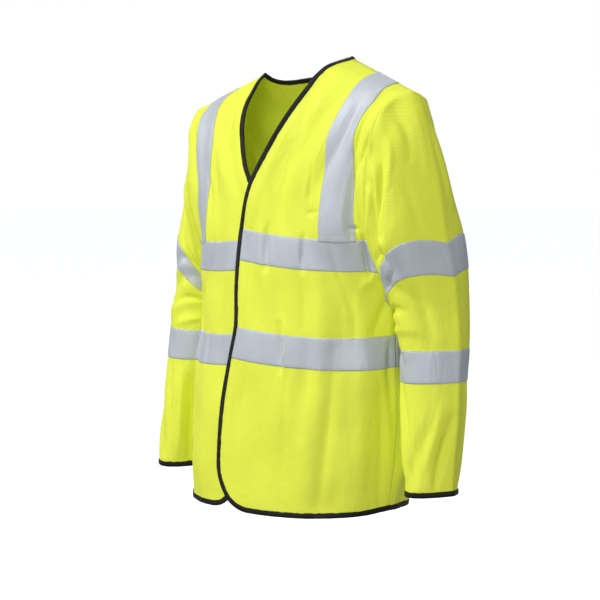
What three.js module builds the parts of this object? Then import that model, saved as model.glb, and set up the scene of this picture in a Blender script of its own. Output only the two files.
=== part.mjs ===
// Long-sleeved high-visibility work jacket, closed and hanging as on a wearer's shoulders.
// Millimetres, +Z up. The front faces -Y and the wearer's left is +X.
// The origin lies midway between the two points where the shoulder seams meet the neckline.
import * as THREE from "three";

// Driving sizes
const clothWall = 1.2;
const seamGap = 0.3;
const tapeWall = 1.0;
const bindingWall = 1.0;
const bindingWidth = 8;
const fastenerWall = 1.2;
const fastenerReach = 28;
const hemLevel = -695;
const waistBand = { bottom: -462.5, top: -413 };
const chestBand = { bottom: -310, top: -261 };
const underarmLevel = -356;
const cornerRadius = 70;
const neckHalfWidth = 102;
const shoulderHalfWidth = 251;
const backNeckDrop = 25;
const seamBevel = 1;
const tapeEndInset = 3;
const layerGap = 0.75;
const armholeGap = 0.5;
const neckBindingInset = 3;
const panelWidth = 260;
const sleeveGirth = 330;

// The jacket has slid towards the wearer's right, so the left side sits higher and the right lower.
const slideTable = { level: [-695, -462, -413, -310, -190, 0], lift: [0, 5, 5, 6.5, 8.5, 12] };

// Sections of the two fronts. The edge is the front edge or neckline, the side is the side seam or
// armhole, and fill 1 and fill 2 are the points in plan that the section bows out to.
const frontColumns = ["level", "leftX", "leftY", "rightX", "rightY", "sideX", "sideY", "sideZ",
  "fill1X", "fill1Y", "fill2X", "fill2Y"];
const frontRows = [
  [-695, -46, -143, -4, -137, 200, -4, -685, 84, -146, 197, -92],
  [-610, -46, -142, -4, -136, 206, 2, -611, 84, -146, 203, -92],
  [-535, -42, -138, 0, -132, 208, 6, -540, 88, -142, 206, -90],
  [-462.5, -31, -131, 10, -125, 207, 4, -469, 92, -138, 205, -88],
  [-413, -22, -127, 20, -121, 206, 3, -419, 92, -134, 203, -86],
  [-356, -23, -124.5, 22, -118, 204, 2, -357, 82, -131, 196, -90],
  [-310, -22, -122, 22, -116, 207, -22, -322, 68, -128, 175, -98],
  [-261, -18, -118, 22, -112, 212, -52, -275, 56, -124, 150, -102],
  [-190, 1, -115, 4, -109, 217, -74, -203, 60, -112, 140, -86],
  [-143, 27, -107, -34, -94, 219, -72, -155, 85, -98, 152, -78],
  [-108, 47, -98, -56, -79, 223, -66, -120, 100, -88, 165, -72],
  [-78, 65, -87, -71, -66, 227, -58, -92, 115, -74, 172, -62],
  [-45, 82, -68, -84, -44, 233, -40, -70, 131, -58, 182, -48],
  [-25, 91, -54, -88, -27, 240, -26, -62, 140, -44, 190, -36],
  [-10, 97, -30, -95, -10, 246, -14, -58, 147, -24, 197, -19],
  [0, 102, 8, -102, 8, 251, 0, -54.5, 151.7, 5.3, 201.3, 2.7],
];

// Sections of the back, from the centre line to the side seam or armhole.
const backColumns = ["level", "centreY", "centreZ", "sideX", "sideY", "sideZ",
  "fill1X", "fill1Y", "fill2X", "fill2Y"];
const backRows = [
  [-695, 128, -690, 200, -4, -685, 96, 134, 193, 80],
  [-610, 125, -608, 206, 2, -611, 98, 132, 199, 82],
  [-535, 119, -535, 208, 6, -540, 98, 128, 202, 82],
  [-462.5, 113, -463, 207, 4, -469, 98, 122, 202, 80],
  [-413, 111, -413, 206, 3, -419, 98, 120, 201, 80],
  [-356, 112, -354, 204, 2, -357, 94, 122, 197, 84],
  [-310, 115, -308, 207, 30, -322, 88, 124, 176, 96],
  [-261, 116, -260, 213, 57, -272, 84, 124, 160, 102],
  [-190, 114, -190, 219, 72, -198, 80, 120, 154, 100],
  [-143, 110, -142, 223, 70, -152, 80, 114, 156, 94],
  [-108, 104, -105, 228, 62, -120, 80, 106, 160, 86],
  [-78, 95, -73, 234, 52, -94, 82, 96, 164, 74],
  [-45, 78, -36, 241, 38, -74, 83, 76, 166, 57],
  [-25, 60, -8, 246, 28, -64, 83, 56, 166, 41],
  [-10, 36, 16, 249, 13, -58, 83, 32, 166, 21],
  [0, 13.5, 37, 251, 0, -54.5, 83.7, 9, 167.3, 4.5],
];

// The right armhole lies further back than the left one, by this much at each level.
const armholeTable = { level: [-356, -310, -261, -190, -108, -45, 0], back: [0, 7, 12, 15, 12, 6, 0] };

// Edges of the braces across the shoulder, measured from the middle of the jacket.
const braceTable = {
  level: [-695, -261, -190, -108, -45, 0],
  inner: [137, 137, 138, 142, 160, 165],
  outer: [187, 187, 187, 191, 207, 211],
};

// Rings of the left sleeve below the armhole: the point under the arm, the front, the pressed outer
// crease and the back. The right sleeve mirrors them and swings forward.
const ringColumns = ["along", "inner", "front", "crease", "back", "lift", "swing"];
const ringRows = [
  [60, [212, 3, -364], [232, -75, -215], [268, 3, -96], [241, 71, -207], 11, 26],
  [130, [213, 5, -370], [244, -71, -258], [289, 9, -184], [253, 73, -248], 8, 26],
  [200, [213, 8, -378], [251, -64, -292], [304, 16, -273], [262, 81, -279], 4.5, 15],
  [248, [213, 11, -388], [255, -47, -335], [311, 22, -324], [267, 86, -325], 4.5, -1],
  [310, [213, 15, -408], [258, -27, -385], [316, 27, -380], [269, 85, -380], 1, -19],
  [360, [213.5, 18, -435], [259, -22, -433], [319, 28, -431], [271, 81, -431], 0, -29],
  [410, [214, 20, -482], [261, -22, -483], [320, 26, -480], [272, 75, -481], 0, -33],
  [475, [221, 18, -547], [265, -28, -547], [320, 22, -545], [276, 66, -545], 1, -36],
  [535, [231, 14, -606], [270, -32, -606], [318, 17, -605], [280, 56, -605], 3, -38],
  [577, [239, 11, -648], [275, -31, -649], [317, 15, -646], [283, 49, -647], 4, -39],
  [586, [240, 10, -657], [275, -30, -658], [318, 15, -655], [283, 48, -656], 4, -39],
];
const pressedCrease = 0.55;
const upperSleeveBand = { top: 200, bottom: 248 };
const lowerSleeveBand = { top: 360, bottom: 410 };
const cuffTurn = 577;
const sleeveEnd = 586;

// Folds: a line from one place on the panel to another, its half width in mm and its height, which
// is negative for a trough. Across runs from 0 at the edge or centre to 1 at the side.
const foldColumns = ["across1", "level1", "across2", "level2", "halfWidth", "height"];
const leftFrontFolds = [
  [0.86, -120, 0.9, -300, 15, -7],
  [0.47, -335, 0.44, -560, 13, -5],
  [0.53, -330, 0.52, -600, 15, 4],
  [0.3, -215, 0.32, -345, 13, -4],
  [0.62, -225, 0.66, -420, 15, -4],
  [0.75, -60, 0.6, -190, 14, -4],
  [0.8, -430, 0.74, -690, 20, 6],
  [0.24, -520, 0.2, -690, 18, -4],
];
const rightFrontFolds = [
  [0.86, -130, 0.9, -300, 15, -6],
  [0.42, -225, 0.46, -345, 13, -5],
  [0.62, -360, 0.58, -560, 14, -6],
  [0.7, -330, 0.68, -640, 15, 5],
  [0.34, -470, 0.3, -690, 20, 5],
];
const backFolds = [
  [0.35, -240, 0.42, -690, 22, -6],
  [0.6, -330, 0.62, -690, 20, 6],
  [0.78, -420, 0.82, -695, 18, -7],
  [0.05, -110, 0.3, -230, 18, -4],
  [0.8, -140, 0.78, -300, 16, -5],
];
// On the sleeves, across runs from 0 under the arm over the front to 0.5 at the crease and on to 1,
// and the level is the distance down the sleeve from the armhole.
const sleeveFolds = [
  [0.42, 15, 0.2, 150, 13, -5],
  [0.3, 20, 0.14, 90, 12, 4],
  [0.6, 40, 0.72, 170, 14, -6],
  [0.12, 215, 0.36, 300, 12, -6],
  [0.1, 290, 0.4, 345, 12, 4],
  [0.4, 470, 0.24, 570, 15, -5],
  [0.85, 300, 0.66, 420, 14, -5],
  [0.7, 450, 0.8, 560, 14, 4],
];

// Colours of the cloth, tape and binding
const hiVisYellow = { color: 0xd9f02c, roughness: 0.75, metalness: 0 };
const reflectiveGrey = { color: 0xb4bec8, roughness: 0.4, metalness: 0.1 };
const bindingBlack = { color: 0x14150f, roughness: 0.5, metalness: 0 };
const fastenerYellow = { color: 0xcfe63a, roughness: 0.9, metalness: 0 };

// Reading tables

function asRows(columns, rows) {
  return rows.map((row) => Object.fromEntries(columns.map((name, k) => [name, row[k]])));
}

function spline(knots, values, at) {
  const last = knots.length - 1;
  const t = Math.min(Math.max(at, knots[0]), knots[last]);
  let k = 0;
  while (k < last - 1 && t > knots[k + 1]) k += 1;
  const slope = (i) => (values[i + 1] - values[i]) / (knots[i + 1] - knots[i]);
  const tangent = (i) => {
    if (i === 0) return slope(0);
    if (i === last) return slope(last - 1);
    const before = knots[i] - knots[i - 1];
    const after = knots[i + 1] - knots[i];
    return (slope(i - 1) * after + slope(i) * before) / (before + after);
  };
  const span = knots[k + 1] - knots[k];
  const s = (t - knots[k]) / span;
  const rise = tangent(k) * span;
  const fall = tangent(k + 1) * span;
  return values[k] * (2 * s ** 3 - 3 * s ** 2 + 1) + rise * (s ** 3 - 2 * s ** 2 + s)
    + values[k + 1] * (3 * s ** 2 - 2 * s ** 3) + fall * (s ** 3 - s ** 2);
}

function linear(knots, values, at) {
  let k = 0;
  while (k < knots.length - 2 && at > knots[k + 1]) k += 1;
  const s = Math.min(Math.max((at - knots[k]) / (knots[k + 1] - knots[k]), 0), 1);
  return values[k] + (values[k + 1] - values[k]) * s;
}

function bezier(p0, p1, p2, p3, t) {
  const r = 1 - t;
  return r ** 3 * p0 + 3 * r * r * t * p1 + 3 * r * t * t * p2 + t ** 3 * p3;
}

const slideLift = (side, level) => side * linear(slideTable.level, slideTable.lift, level);

// The height of a fold at a place, from its distance in mm to the fold's line
function foldHeight(folds, across, level, acrossSize) {
  let height = 0;
  for (const fold of asRows(foldColumns, folds)) {
    const dx = (fold.across2 - fold.across1) * acrossSize;
    const dz = fold.level2 - fold.level1;
    const px = (across - fold.across1) * acrossSize;
    const pz = level - fold.level1;
    const reach = (px * dx + pz * dz) / (dx * dx + dz * dz);
    const along = Math.min(Math.max(reach, 0), 1);
    const off = Math.hypot(px - along * dx, pz - along * dz);
    const taper = Math.sin(Math.PI * (0.1 + 0.8 * along));
    height += fold.height * taper * Math.exp(-((off / fold.halfWidth) ** 2));
  }
  return height;
}

// Surfaces: each gives a point from its place across and its level

function derive(surface, a, level) {
  const da = 0.004;
  const dl = 1.5;
  const a1 = Math.max(a - da, 0);
  const a2 = Math.min(a + da, 1);
  const l1 = Math.max(level - dl, hemLevel);
  const l2 = Math.min(level + dl, 0);
  const across = surface(a2, level).sub(surface(a1, level)).divideScalar(a2 - a1);
  const up = surface(a, l2).sub(surface(a, l1)).divideScalar(l2 - l1);
  return { across, up };
}

function frontForm(side) {
  const rows = asRows(frontColumns, frontRows);
  const knots = rows.map((row) => row.level);
  return (a, level) => {
    const points = rows.map((row) => {
      const edgeX = side > 0 ? row.leftX : -row.rightX;
      const edgeY = side > 0 ? row.leftY : row.rightY;
      const shiftX = edgeX - row.leftX;
      const shiftY = edgeY - row.leftY;
      const sideY = row.sideY + (side < 0 ? linear(armholeTable.level, armholeTable.back, row.level) : 0);
      const x = bezier(edgeX, row.fill1X + shiftX * 2 / 3, row.fill2X + shiftX / 3, row.sideX, a);
      const y = bezier(edgeY, row.fill1Y + shiftY * 2 / 3, row.fill2Y + shiftY / 3, sideY, a);
      const sag = 6 * Math.sin(Math.PI * a) * Math.min(1, -row.level / 400);
      return [side * x, y, row.level + (row.sideZ - row.level) * a - sag];
    });
    const at = [0, 1, 2].map((axis) => spline(knots, points.map((p) => p[axis]), level));
    return new THREE.Vector3(at[0], at[1], at[2] + slideLift(side, level));
  };
}

function backForm(side) {
  const rows = asRows(backColumns, backRows);
  const knots = rows.map((row) => row.level);
  return (a, level) => {
    const points = rows.map((row) => [
      side * bezier(0, row.fill1X, row.fill2X, row.sideX, a),
      bezier(row.centreY, row.fill1Y, row.fill2Y, row.sideY, a),
      row.centreZ + (row.sideZ - row.centreZ) * a,
    ]);
    const at = [0, 1, 2].map((axis) => spline(knots, points.map((p) => p[axis]), level));
    const lift = slideLift(side, level) * Math.min(1, a / 0.4);
    return new THREE.Vector3(at[0], at[1], at[2] + lift);
  };
}

// A form with its folds raised along the outward normal
function folded(form, folds, outward) {
  return (a, level) => {
    const point = form(a, level);
    const edgeFade = Math.min(1, a * 12, (1 - a) * 12, (level - hemLevel + 12) / 30, -level / 30);
    const height = foldHeight(folds, a, level, panelWidth) * Math.max(edgeFade, 0);
    if (height === 0) return point;
    const { across, up } = derive(form, a, level);
    const normal = across.cross(up).normalize().multiplyScalar(outward);
    return point.addScaledVector(normal, height);
  };
}

function acrossAtWidth(surface, level, width) {
  let low = 0;
  let high = 1;
  for (let k = 0; k < 30; k += 1) {
    const middle = (low + high) / 2;
    if (Math.abs(surface(middle, level).x) < width) low = middle;
    else high = middle;
  }
  return (low + high) / 2;
}

function acrossAtDistance(surface, level, distance) {
  const step = 0.005;
  let a = 0;
  let run = 0;
  let here = surface(0, level);
  while (run < distance && a < 1) {
    const next = surface(a + step, level);
    const length = next.distanceTo(here);
    if (run + length >= distance) return a + step * (distance - run) / length;
    run += length;
    here = next;
    a += step;
  }
  return a;
}

// Grids: outer points, inner points and normals of a panel, by column and row

const shoulderSeam = (side) => new THREE.Vector3(side * (shoulderHalfWidth - neckHalfWidth), -8, -54.5);

function seamNormal(side, atTop) {
  if (!atTop) return new THREE.Vector3(side, 0, 0);
  const along = shoulderSeam(side).normalize();
  const up = new THREE.Vector3(0, 0, 1);
  return up.addScaledVector(along, -up.dot(along)).normalize();
}

// The side seam is one line that the fronts and the back share
function sideSeamPoint(side, level) {
  const rows = asRows(frontColumns, frontRows).filter((row) => row.level <= underarmLevel);
  const knots = rows.map((row) => row.level);
  const columnAt = (name) => spline(knots, rows.map((row) => row[name]), level);
  const [x, y, z] = ["sideX", "sideY", "sideZ"].map(columnAt);
  return new THREE.Vector3(side * x, y, z + slideLift(side, level));
}

function wallPoint(surface, side, outward, a, level, seamShift) {
  const atSide = a > 0.9999;
  const atTop = level > -0.001;
  const atArmhole = atSide && level > underarmLevel + 1 && !atTop;
  const { across, up } = derive(surface, a, level);
  let normal = across.clone().cross(up).normalize().multiplyScalar(outward);
  if (atTop || (atSide && !atArmhole)) normal = seamNormal(side, atTop);
  const atSeam = atSide && !atArmhole && !atTop;
  const outer = atSeam ? sideSeamPoint(side, level) : surface(a, level);
  const inner = outer.clone().addScaledVector(normal, -clothWall);
  if (atArmhole || (atTop && atSide)) {
    inner.addScaledVector(across.clone().normalize(), -seamBevel);
  }
  if (atTop || (atSide && !atArmhole)) {
    outer.y += seamShift;
    inner.y += seamShift;
  }
  return { outer, inner, normal };
}

const frontLevels = [-695, -686, -662, -628, -585, -522, -462.5, -413, -384, -356, -333, -310,
  -285, -261, -225, -190, -150, -108, -78, -45, -20, 0];
const backLevels = [-695, -686, -650, -590, -522, -462.5, -413, -384, -356, -333, -310, -285, -261,
  -225, -190, -150, -108, -78, -45, -20, -9, 0];

function frontGrid(side) {
  const form = frontForm(side);
  const outward = side;
  const folds = side > 0 ? leftFrontFolds : rightFrontFolds;
  const surface = folded(form, folds, outward);
  const cornerInset = cornerRadius * (1 - Math.SQRT1_2);
  const arc = (d) => (d < cornerRadius
    ? cornerRadius - Math.sqrt(cornerRadius ** 2 - (cornerRadius - d) ** 2) : 0);
  const mapHeight = waistBand.bottom - hemLevel;
  const columnsAt = (level) => {
    const turned = acrossAtDistance(form, level, bindingWidth);
    const fastened = acrossAtDistance(form, level, fastenerReach);
    const inner = acrossAtWidth(form, level, linear(braceTable.level, braceTable.inner, level));
    const outer = acrossAtWidth(form, level, linear(braceTable.level, braceTable.outer, level));
    const gap = inner - fastened;
    return [0, turned, fastened, fastened + gap * 0.25, fastened + gap * 0.5, fastened + gap * 0.75,
      inner, (inner + outer) / 2, outer, outer + (1 - outer) * 0.5, 1];
  };
  const hemColumns = columnsAt(hemLevel);
  const startInset = acrossAtDistance(form, hemLevel, cornerInset);
  const hemRise = hemColumns.map((a) => {
    const along = startInset + a * (1 - startInset);
    let distance = 0;
    for (let k = 0; k < 20; k += 1) {
      distance += form(along * k / 20, hemLevel).distanceTo(form(along * (k + 1) / 20, hemLevel));
    }
    return distance < cornerRadius ? arc(distance) : 0;
  });
  hemRise[0] = cornerInset;
  const placeAt = (i, level) => {
    const height = level - hemLevel;
    const lift = (rise) => (height < mapHeight ? rise + height * (mapHeight - rise) / mapHeight : height);
    const insetDistance = lift(cornerInset) < cornerRadius ? arc(lift(cornerInset)) : 0;
    const inset = insetDistance > 0 ? acrossAtDistance(form, level, insetDistance) : 0;
    return { a: inset + columnsAt(level)[i] * (1 - inset), level: hemLevel + lift(hemRise[i]) };
  };
  const grid = hemColumns.map((_, i) => frontLevels.map((level) => {
    const place = placeAt(i, level);
    return wallPoint(surface, side, outward, place.a, place.level, -seamGap / 2);
  }));
  return { grid, levels: frontLevels, columns: hemColumns.length };
}

// Columns of the back, counted out from the centre line
const neckColumn = 5;
const braceInnerColumn = 7;
const braceOuterColumn = 9;
const sideColumn = 11;

function backGrid() {
  const surfaces = [-1, 1].map((side) => folded(backForm(side), backFolds, -side));
  const plain = backForm(1);
  const halfColumns = (level) => {
    const neck = acrossAtWidth(plain, level, neckHalfWidth);
    const inner = acrossAtWidth(plain, level, linear(braceTable.level, braceTable.inner, level));
    const outer = acrossAtWidth(plain, level, linear(braceTable.level, braceTable.outer, level));
    return [0, neck * 0.3, neck * 0.56, neck * 0.79, neck * 0.94, neck, (neck + inner) / 2, inner,
      (inner + outer) / 2, outer, outer + (1 - outer) * 0.5, 1];
  };
  const mapDepth = 143;
  const half = (side) => halfColumns(0).map((_, i) => backLevels.map((level) => {
    const a = halfColumns(level)[i];
    const neck = halfColumns(0)[neckColumn];
    const top = halfColumns(0)[i];
    const drop = top < neck ? -backNeckDrop * Math.sqrt(1 - (top / neck) ** 2) : 0;
    const placed = level > -mapDepth ? drop + level * (mapDepth + drop) / mapDepth : level;
    const surface = surfaces[side > 0 ? 1 : 0];
    return wallPoint(surface, side, -side, a, placed, seamGap / 2);
  }));
  const left = half(1);
  const right = half(-1).slice(1).reverse();
  return { grid: [...right, ...left], levels: backLevels, columns: left.length + right.length };
}

// Solids from grids

function closedMesh(name, triangles, look) {
  const keys = new Map();
  const positions = [];
  const index = [];
  const place = (p) => {
    const key = [p.x, p.y, p.z].map((value) => Math.round(value * 1000)).join(",");
    if (!keys.has(key)) {
      keys.set(key, keys.size);
      positions.push(p.x, p.y, p.z);
    }
    return keys.get(key);
  };
  let volume = 0;
  for (const [p, q, r] of triangles) {
    const corners = [place(p), place(q), place(r)];
    if (new Set(corners).size < 3) continue;
    index.push(...corners);
    volume += p.dot(q.clone().cross(r)) / 6;
  }
  if (volume < 0) index.reverse();
  const geometry = new THREE.BufferGeometry();
  geometry.setAttribute("position", new THREE.Float32BufferAttribute(positions, 3));
  geometry.setIndex(index);
  const mesh = new THREE.Mesh(geometry, new THREE.MeshStandardMaterial(look));
  mesh.name = name;
  return mesh;
}

const quad = (a, b, c, d, turned) => (turned ? [[a, b, c], [a, c, d]] : [[a, b, d], [b, c, d]]);

// A wall between two point grids, closed along its free edges, or all round where it wraps
// Rows past the turned row split their faces the other way, as the panel under them does
function wall(outer, inner, wraps, turnedFrom = Infinity) {
  const triangles = [];
  const columns = outer.length;
  const rows = outer[0].length;
  const steps = wraps ? columns : columns - 1;
  for (let i = 0; i < steps; i += 1) {
    const n = (i + 1) % columns;
    for (let j = 0; j < rows - 1; j += 1) {
      const turned = j >= turnedFrom;
      triangles.push(...quad(outer[i][j], outer[n][j], outer[n][j + 1], outer[i][j + 1], turned));
      const under = quad(inner[i][j], inner[n][j], inner[n][j + 1], inner[i][j + 1], turned);
      triangles.push(...under.map(([a, b, c]) => [a, c, b]));
    }
    triangles.push(...quad(inner[i][0], inner[n][0], outer[n][0], outer[i][0]));
    const top = rows - 1;
    triangles.push(...quad(outer[i][top], outer[n][top], inner[n][top], inner[i][top]));
  }
  if (!wraps) {
    const end = columns - 1;
    for (let j = 0; j < rows - 1; j += 1) {
      triangles.push(...quad(outer[0][j], outer[0][j + 1], inner[0][j + 1], inner[0][j]));
      triangles.push(...quad(inner[end][j], inner[end][j + 1], outer[end][j + 1], outer[end][j]));
    }
  }
  return triangles;
}

function panel(name, { grid }, look) {
  const outer = grid.map((column) => column.map((cell) => cell.outer));
  const inner = grid.map((column) => column.map((cell) => cell.inner));
  return closedMesh(name, wall(outer, inner, false), look);
}

// A layer that lies on a panel's outside, or on its inside where below is true
function layer(name, cells, thickness, look, { below = false, wraps = false, turnedFrom } = {}) {
  const near = cells.map((column) => column.map((cell) => (below
    ? cell.inner.clone().addScaledVector(cell.normal, -layerGap)
    : cell.outer.clone().addScaledVector(cell.normal, layerGap))));
  const far = cells.map((column, i) => column.map((cell, j) => near[i][j].clone()
    .addScaledVector(cell.normal, below ? -thickness : thickness)));
  return closedMesh(name, wall(far, near, wraps, turnedFrom), look);
}

function between(cell, other, share) {
  return {
    outer: cell.outer.clone().lerp(other.outer, share),
    inner: cell.inner.clone().lerp(other.inner, share),
    normal: cell.normal.clone().lerp(other.normal, share).normalize(),
  };
}

function towards(cell, other, distance) {
  return between(cell, other, distance / cell.outer.distanceTo(other.outer));
}

// A binding folded over an edge: at each step an edge cell and the cell its turned width reaches
// Its inner faces split as the panel's do, which differs between edges along rows and along columns
function binding(name, steps, { wraps = false, alongRows = false } = {}) {
  const clear = seamGap;
  const full = seamGap + bindingWall;
  const sections = steps.map(([edge, reach]) => {
    const flange = towards(reach, edge, 0.35);
    const out = edge.outer.clone().sub(reach.outer);
    out.addScaledVector(edge.normal, -out.dot(edge.normal)).normalize();
    const at = (cell, level, side, outwards) => (side > 0 ? cell.outer : cell.inner).clone()
      .addScaledVector(cell.normal, side * level)
      .addScaledVector(out, outwards);
    return [at(flange, clear, 1, 0), at(flange, full, 1, 0), at(edge, full, 1, full),
      at(edge, full, -1, full), at(flange, full, -1, 0), at(flange, clear, -1, 0),
      at(edge, clear, -1, clear), at(edge, clear, 1, clear)];
  });
  const triangles = [];
  const count = sections.length;
  for (let k = 0; k < (wraps ? count : count - 1); k += 1) {
    const here = sections[k];
    const next = sections[(k + 1) % count];
    const startsAlongRows = alongRows || steps[k].turned;
    for (let m = 0; m < here.length; m += 1) {
      const n = (m + 1) % here.length;
      const turned = startsAlongRows ? m === 7 : m === 5;
      triangles.push(...quad(here[m], here[n], next[n], next[m], turned));
    }
  }
  if (!wraps) {
    const caps = [[0, 1, 2, 7], [2, 3, 6, 7], [3, 4, 5, 6]];
    for (const cap of caps) {
      const [a, b, c, d] = cap.map((m) => sections[0][m]);
      triangles.push([a, c, b], [a, d, c]);
      const [e, f, g, h] = cap.map((m) => sections[count - 1][m]);
      triangles.push([e, f, g], [e, g, h]);
    }
  }
  return closedMesh(name, triangles, bindingBlack);
}

// Sleeves

function ringPoint(ring, side, w) {
  const share = w <= 0.5 ? w * 2 : (1 - w) * 2;
  const bow = w <= 0.5 ? ring.front : ring.back;
  const round = [Math.cos(Math.PI * share), Math.sin(Math.PI * share)];
  const lens = [1 - 2 * share, 4 * share * (1 - share)];
  const [reach, depth] = [0, 1].map((k) => round[k] * (1 - pressedCrease) + lens[k] * pressedCrease);
  const at = [0, 1, 2].map((axis) => {
    const centre = (ring.inner[axis] + ring.crease[axis]) / 2;
    return centre + (ring.inner[axis] - centre) * reach + (bow[axis] - centre) * depth;
  });
  const swing = side < 0 ? ring.swing : 0;
  return new THREE.Vector3(side * at[0], at[1] + swing, at[2] + side * ring.lift);
}

function sleeveGrid(side, front, back) {
  const end = front.grid.length - 1;
  const backColumn = side > 0 ? back.grid.length - 1 : 0;
  const fromUnderarm = (levels) => levels.indexOf(underarmLevel);
  const forward = front.grid[end].slice(fromUnderarm(front.levels)).map((cell) => cell.outer);
  const rearward = back.grid[backColumn].slice(fromUnderarm(back.levels) + 1, -1)
    .map((cell) => cell.outer).reverse();
  const armhole = [...forward, ...rearward].map((p) => p.clone().setX(p.x + side * armholeGap));
  armhole[0].y = 2;
  armhole[forward.length - 1].y = 0;
  const centre = new THREE.Vector3(0, 2, -205 + side * 8);
  const turns = armhole.map((p) => {
    const angle = Math.atan2(-(p.y - centre.y), -(p.z - centre.z)) / (2 * Math.PI);
    return angle < -1e-6 ? 1 + angle : Math.max(angle, 0);
  });
  const rings = asRows(ringColumns, ringRows);
  const knots = [0, ...rings.map((ring) => ring.along)];
  const bare = (k, along, turn) => {
    const start = armhole[k];
    const points = [start, ...rings.map((ring) => ringPoint(ring, side, turn))];
    const at = (axis) => spline(knots, points.map((p) => p[axis]), along);
    return new THREE.Vector3(at("x"), at("y"), at("z"));
  };
  const alongRows = [0, 28, 60, 95, 130, 165, 200, 224, 248, 279, 310, 335, 360, 385, 410, 442, 475, 505,
    535, 556, 577, 586];
  const sides = armhole.length;
  const skin = armhole.map((_, k) => alongRows.map((along) => bare(k, along, turns[k])));
  const normalAt = (points, k, j) => {
    const around = points[(k + 1) % sides][j].clone().sub(points[(k + sides - 1) % sides][j]);
    const low = Math.min(j + 1, alongRows.length - 1);
    const high = Math.max(j - 1, 0);
    const down = points[k][low].clone().sub(points[k][high]);
    return around.cross(down).normalize().multiplyScalar(-side);
  };
  const outer = skin.map((column, k) => column.map((p, j) => {
    const along = alongRows[j];
    const fade = Math.min(1, along / 30, (sleeveEnd - along) / 20);
    const height = foldHeight(sleeveFolds, turns[k], along, sleeveGirth) * fade;
    return p.clone().addScaledVector(normalAt(skin, k, j), height);
  }));
  const grid = outer.map((column, k) => column.map((p, j) => {
    const normal = normalAt(outer, k, j);
    const inner = p.clone().addScaledVector(normal, -clothWall);
    if (j === 0) inner.add(outer[k][1].clone().sub(p).normalize().multiplyScalar(seamBevel));
    return { outer: p, inner, normal };
  }));
  return { grid, rows: alongRows };
}

// Building the jacket

const jacket = new THREE.Group();
const fronts = { left: frontGrid(1), right: frontGrid(-1) };
const back = backGrid();
jacket.add(panel("front_left", fronts.left, hiVisYellow));
jacket.add(panel("front_right", fronts.right, hiVisYellow));
jacket.add(panel("back", back, hiVisYellow));

function cellsBetween({ grid, levels }, low, high, firstColumn, lastColumn) {
  const from = levels.indexOf(low);
  const to = levels.indexOf(high);
  return grid.slice(firstColumn, lastColumn + 1).map((column) => column.slice(from, to + 1));
}

function endsDrawnIn(cells, startInset, endInset) {
  const last = cells.length - 1;
  return cells.map((column, i) => column.map((cell, j) => {
    if (i === 0 && startInset) return towards(cell, cells[1][j], startInset);
    if (i === last && endInset) return towards(cell, cells[last - 1][j], endInset);
    return cell;
  }));
}

// Reflective bands round the chest and waist
const bands = { chest: [chestBand, tapeEndInset], waist: [waistBand, 0] };
for (const [place, [band, sideInset]] of Object.entries(bands)) {
  for (const [name, front] of Object.entries(fronts)) {
    const last = front.grid.length - 1;
    const first = name === "left" ? 1 : 2;
    const cells = endsDrawnIn(cellsBetween(front, band.bottom, band.top, first, last), layerGap, sideInset);
    jacket.add(layer(`${place}_band_${name}`, cells, tapeWall, reflectiveGrey));
  }
  const wide = cellsBetween(back, band.bottom, band.top, 0, back.grid.length - 1);
  const cells = endsDrawnIn(wide, sideInset, sideInset);
  jacket.add(layer(`${place}_band_back`, cells, tapeWall, reflectiveGrey));
}

// Braces over the shoulders, from the front chest band to the back one
const braceColumns = {
  front: [6, 8],
  back: {
    left: [sideColumn + braceInnerColumn, sideColumn + braceOuterColumn],
    right: [sideColumn - braceOuterColumn, sideColumn - braceInnerColumn],
  },
};
for (const [name, front] of Object.entries(fronts)) {
  const [first, last] = braceColumns.front;
  const down = cellsBetween(front, chestBand.top, 0, first, last);
  const [backFirst, backLast] = braceColumns.back[name];
  let behind = cellsBetween(back, chestBand.top, 0, backFirst, backLast);
  if (name === "right") behind = behind.reverse();
  const turnedFrom = name === "left" ? down[0].length - 1 : undefined;
  const cells = down.map((column, i) => {
    const rear = behind[i].slice(0, -1).reverse();
    const ridge = between(column[column.length - 1], behind[i][behind[i].length - 1], 0.5);
    const lowest = towards(column[0], column[1], 0.4);
    const rearLowest = towards(rear[rear.length - 1], rear[rear.length - 2], 0.4);
    return [lowest, ...column.slice(1, -1), ridge, ...rear.slice(0, -1), rearLowest];
  });
  jacket.add(layer(`brace_${name}`, cells, tapeWall, reflectiveGrey, { turnedFrom }));
}

// Sleeves with their two bands and bound cuffs
for (const [name, front] of Object.entries(fronts)) {
  const sleeve = sleeveGrid(name === "left" ? 1 : -1, front, back);
  const outer = sleeve.grid.map((column) => column.map((cell) => cell.outer));
  const inner = sleeve.grid.map((column) => column.map((cell) => cell.inner));
  jacket.add(closedMesh(`sleeve_${name}`, wall(outer, inner, true), hiVisYellow));
  const sleeveBands = { upper: upperSleeveBand, lower: lowerSleeveBand };
  for (const [place, band] of Object.entries(sleeveBands)) {
    const from = sleeve.rows.indexOf(band.top);
    const to = sleeve.rows.indexOf(band.bottom);
    const cells = sleeve.grid.map((column) => column.slice(from, to + 1));
    jacket.add(layer(`sleeve_band_${place}_${name}`, cells, tapeWall, reflectiveGrey, { wraps: true }));
  }
  const turn = sleeve.rows.indexOf(cuffTurn);
  const steps = sleeve.grid.map((column) => [column[turn + 1], column[turn]]);
  jacket.add(binding(`cuff_binding_${name}`, steps, { wraps: true, alongRows: true }));
}

// Binding down each neckline and front edge, round the corner and along the hem
for (const [name, { grid, levels }] of Object.entries(fronts)) {
  const top = levels.length - 1;
  const steps = [];
  for (let j = top; j >= 1; j -= 1) steps.push(Object.assign([grid[0][j], grid[1][j]], { turned: true }));
  steps.push([grid[0][0], grid[1][1]]);
  for (let i = 1; i < grid.length; i += 1) steps.push([grid[i][0], grid[i][1]]);
  jacket.add(binding(`edge_binding_${name}`, steps));
}

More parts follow.
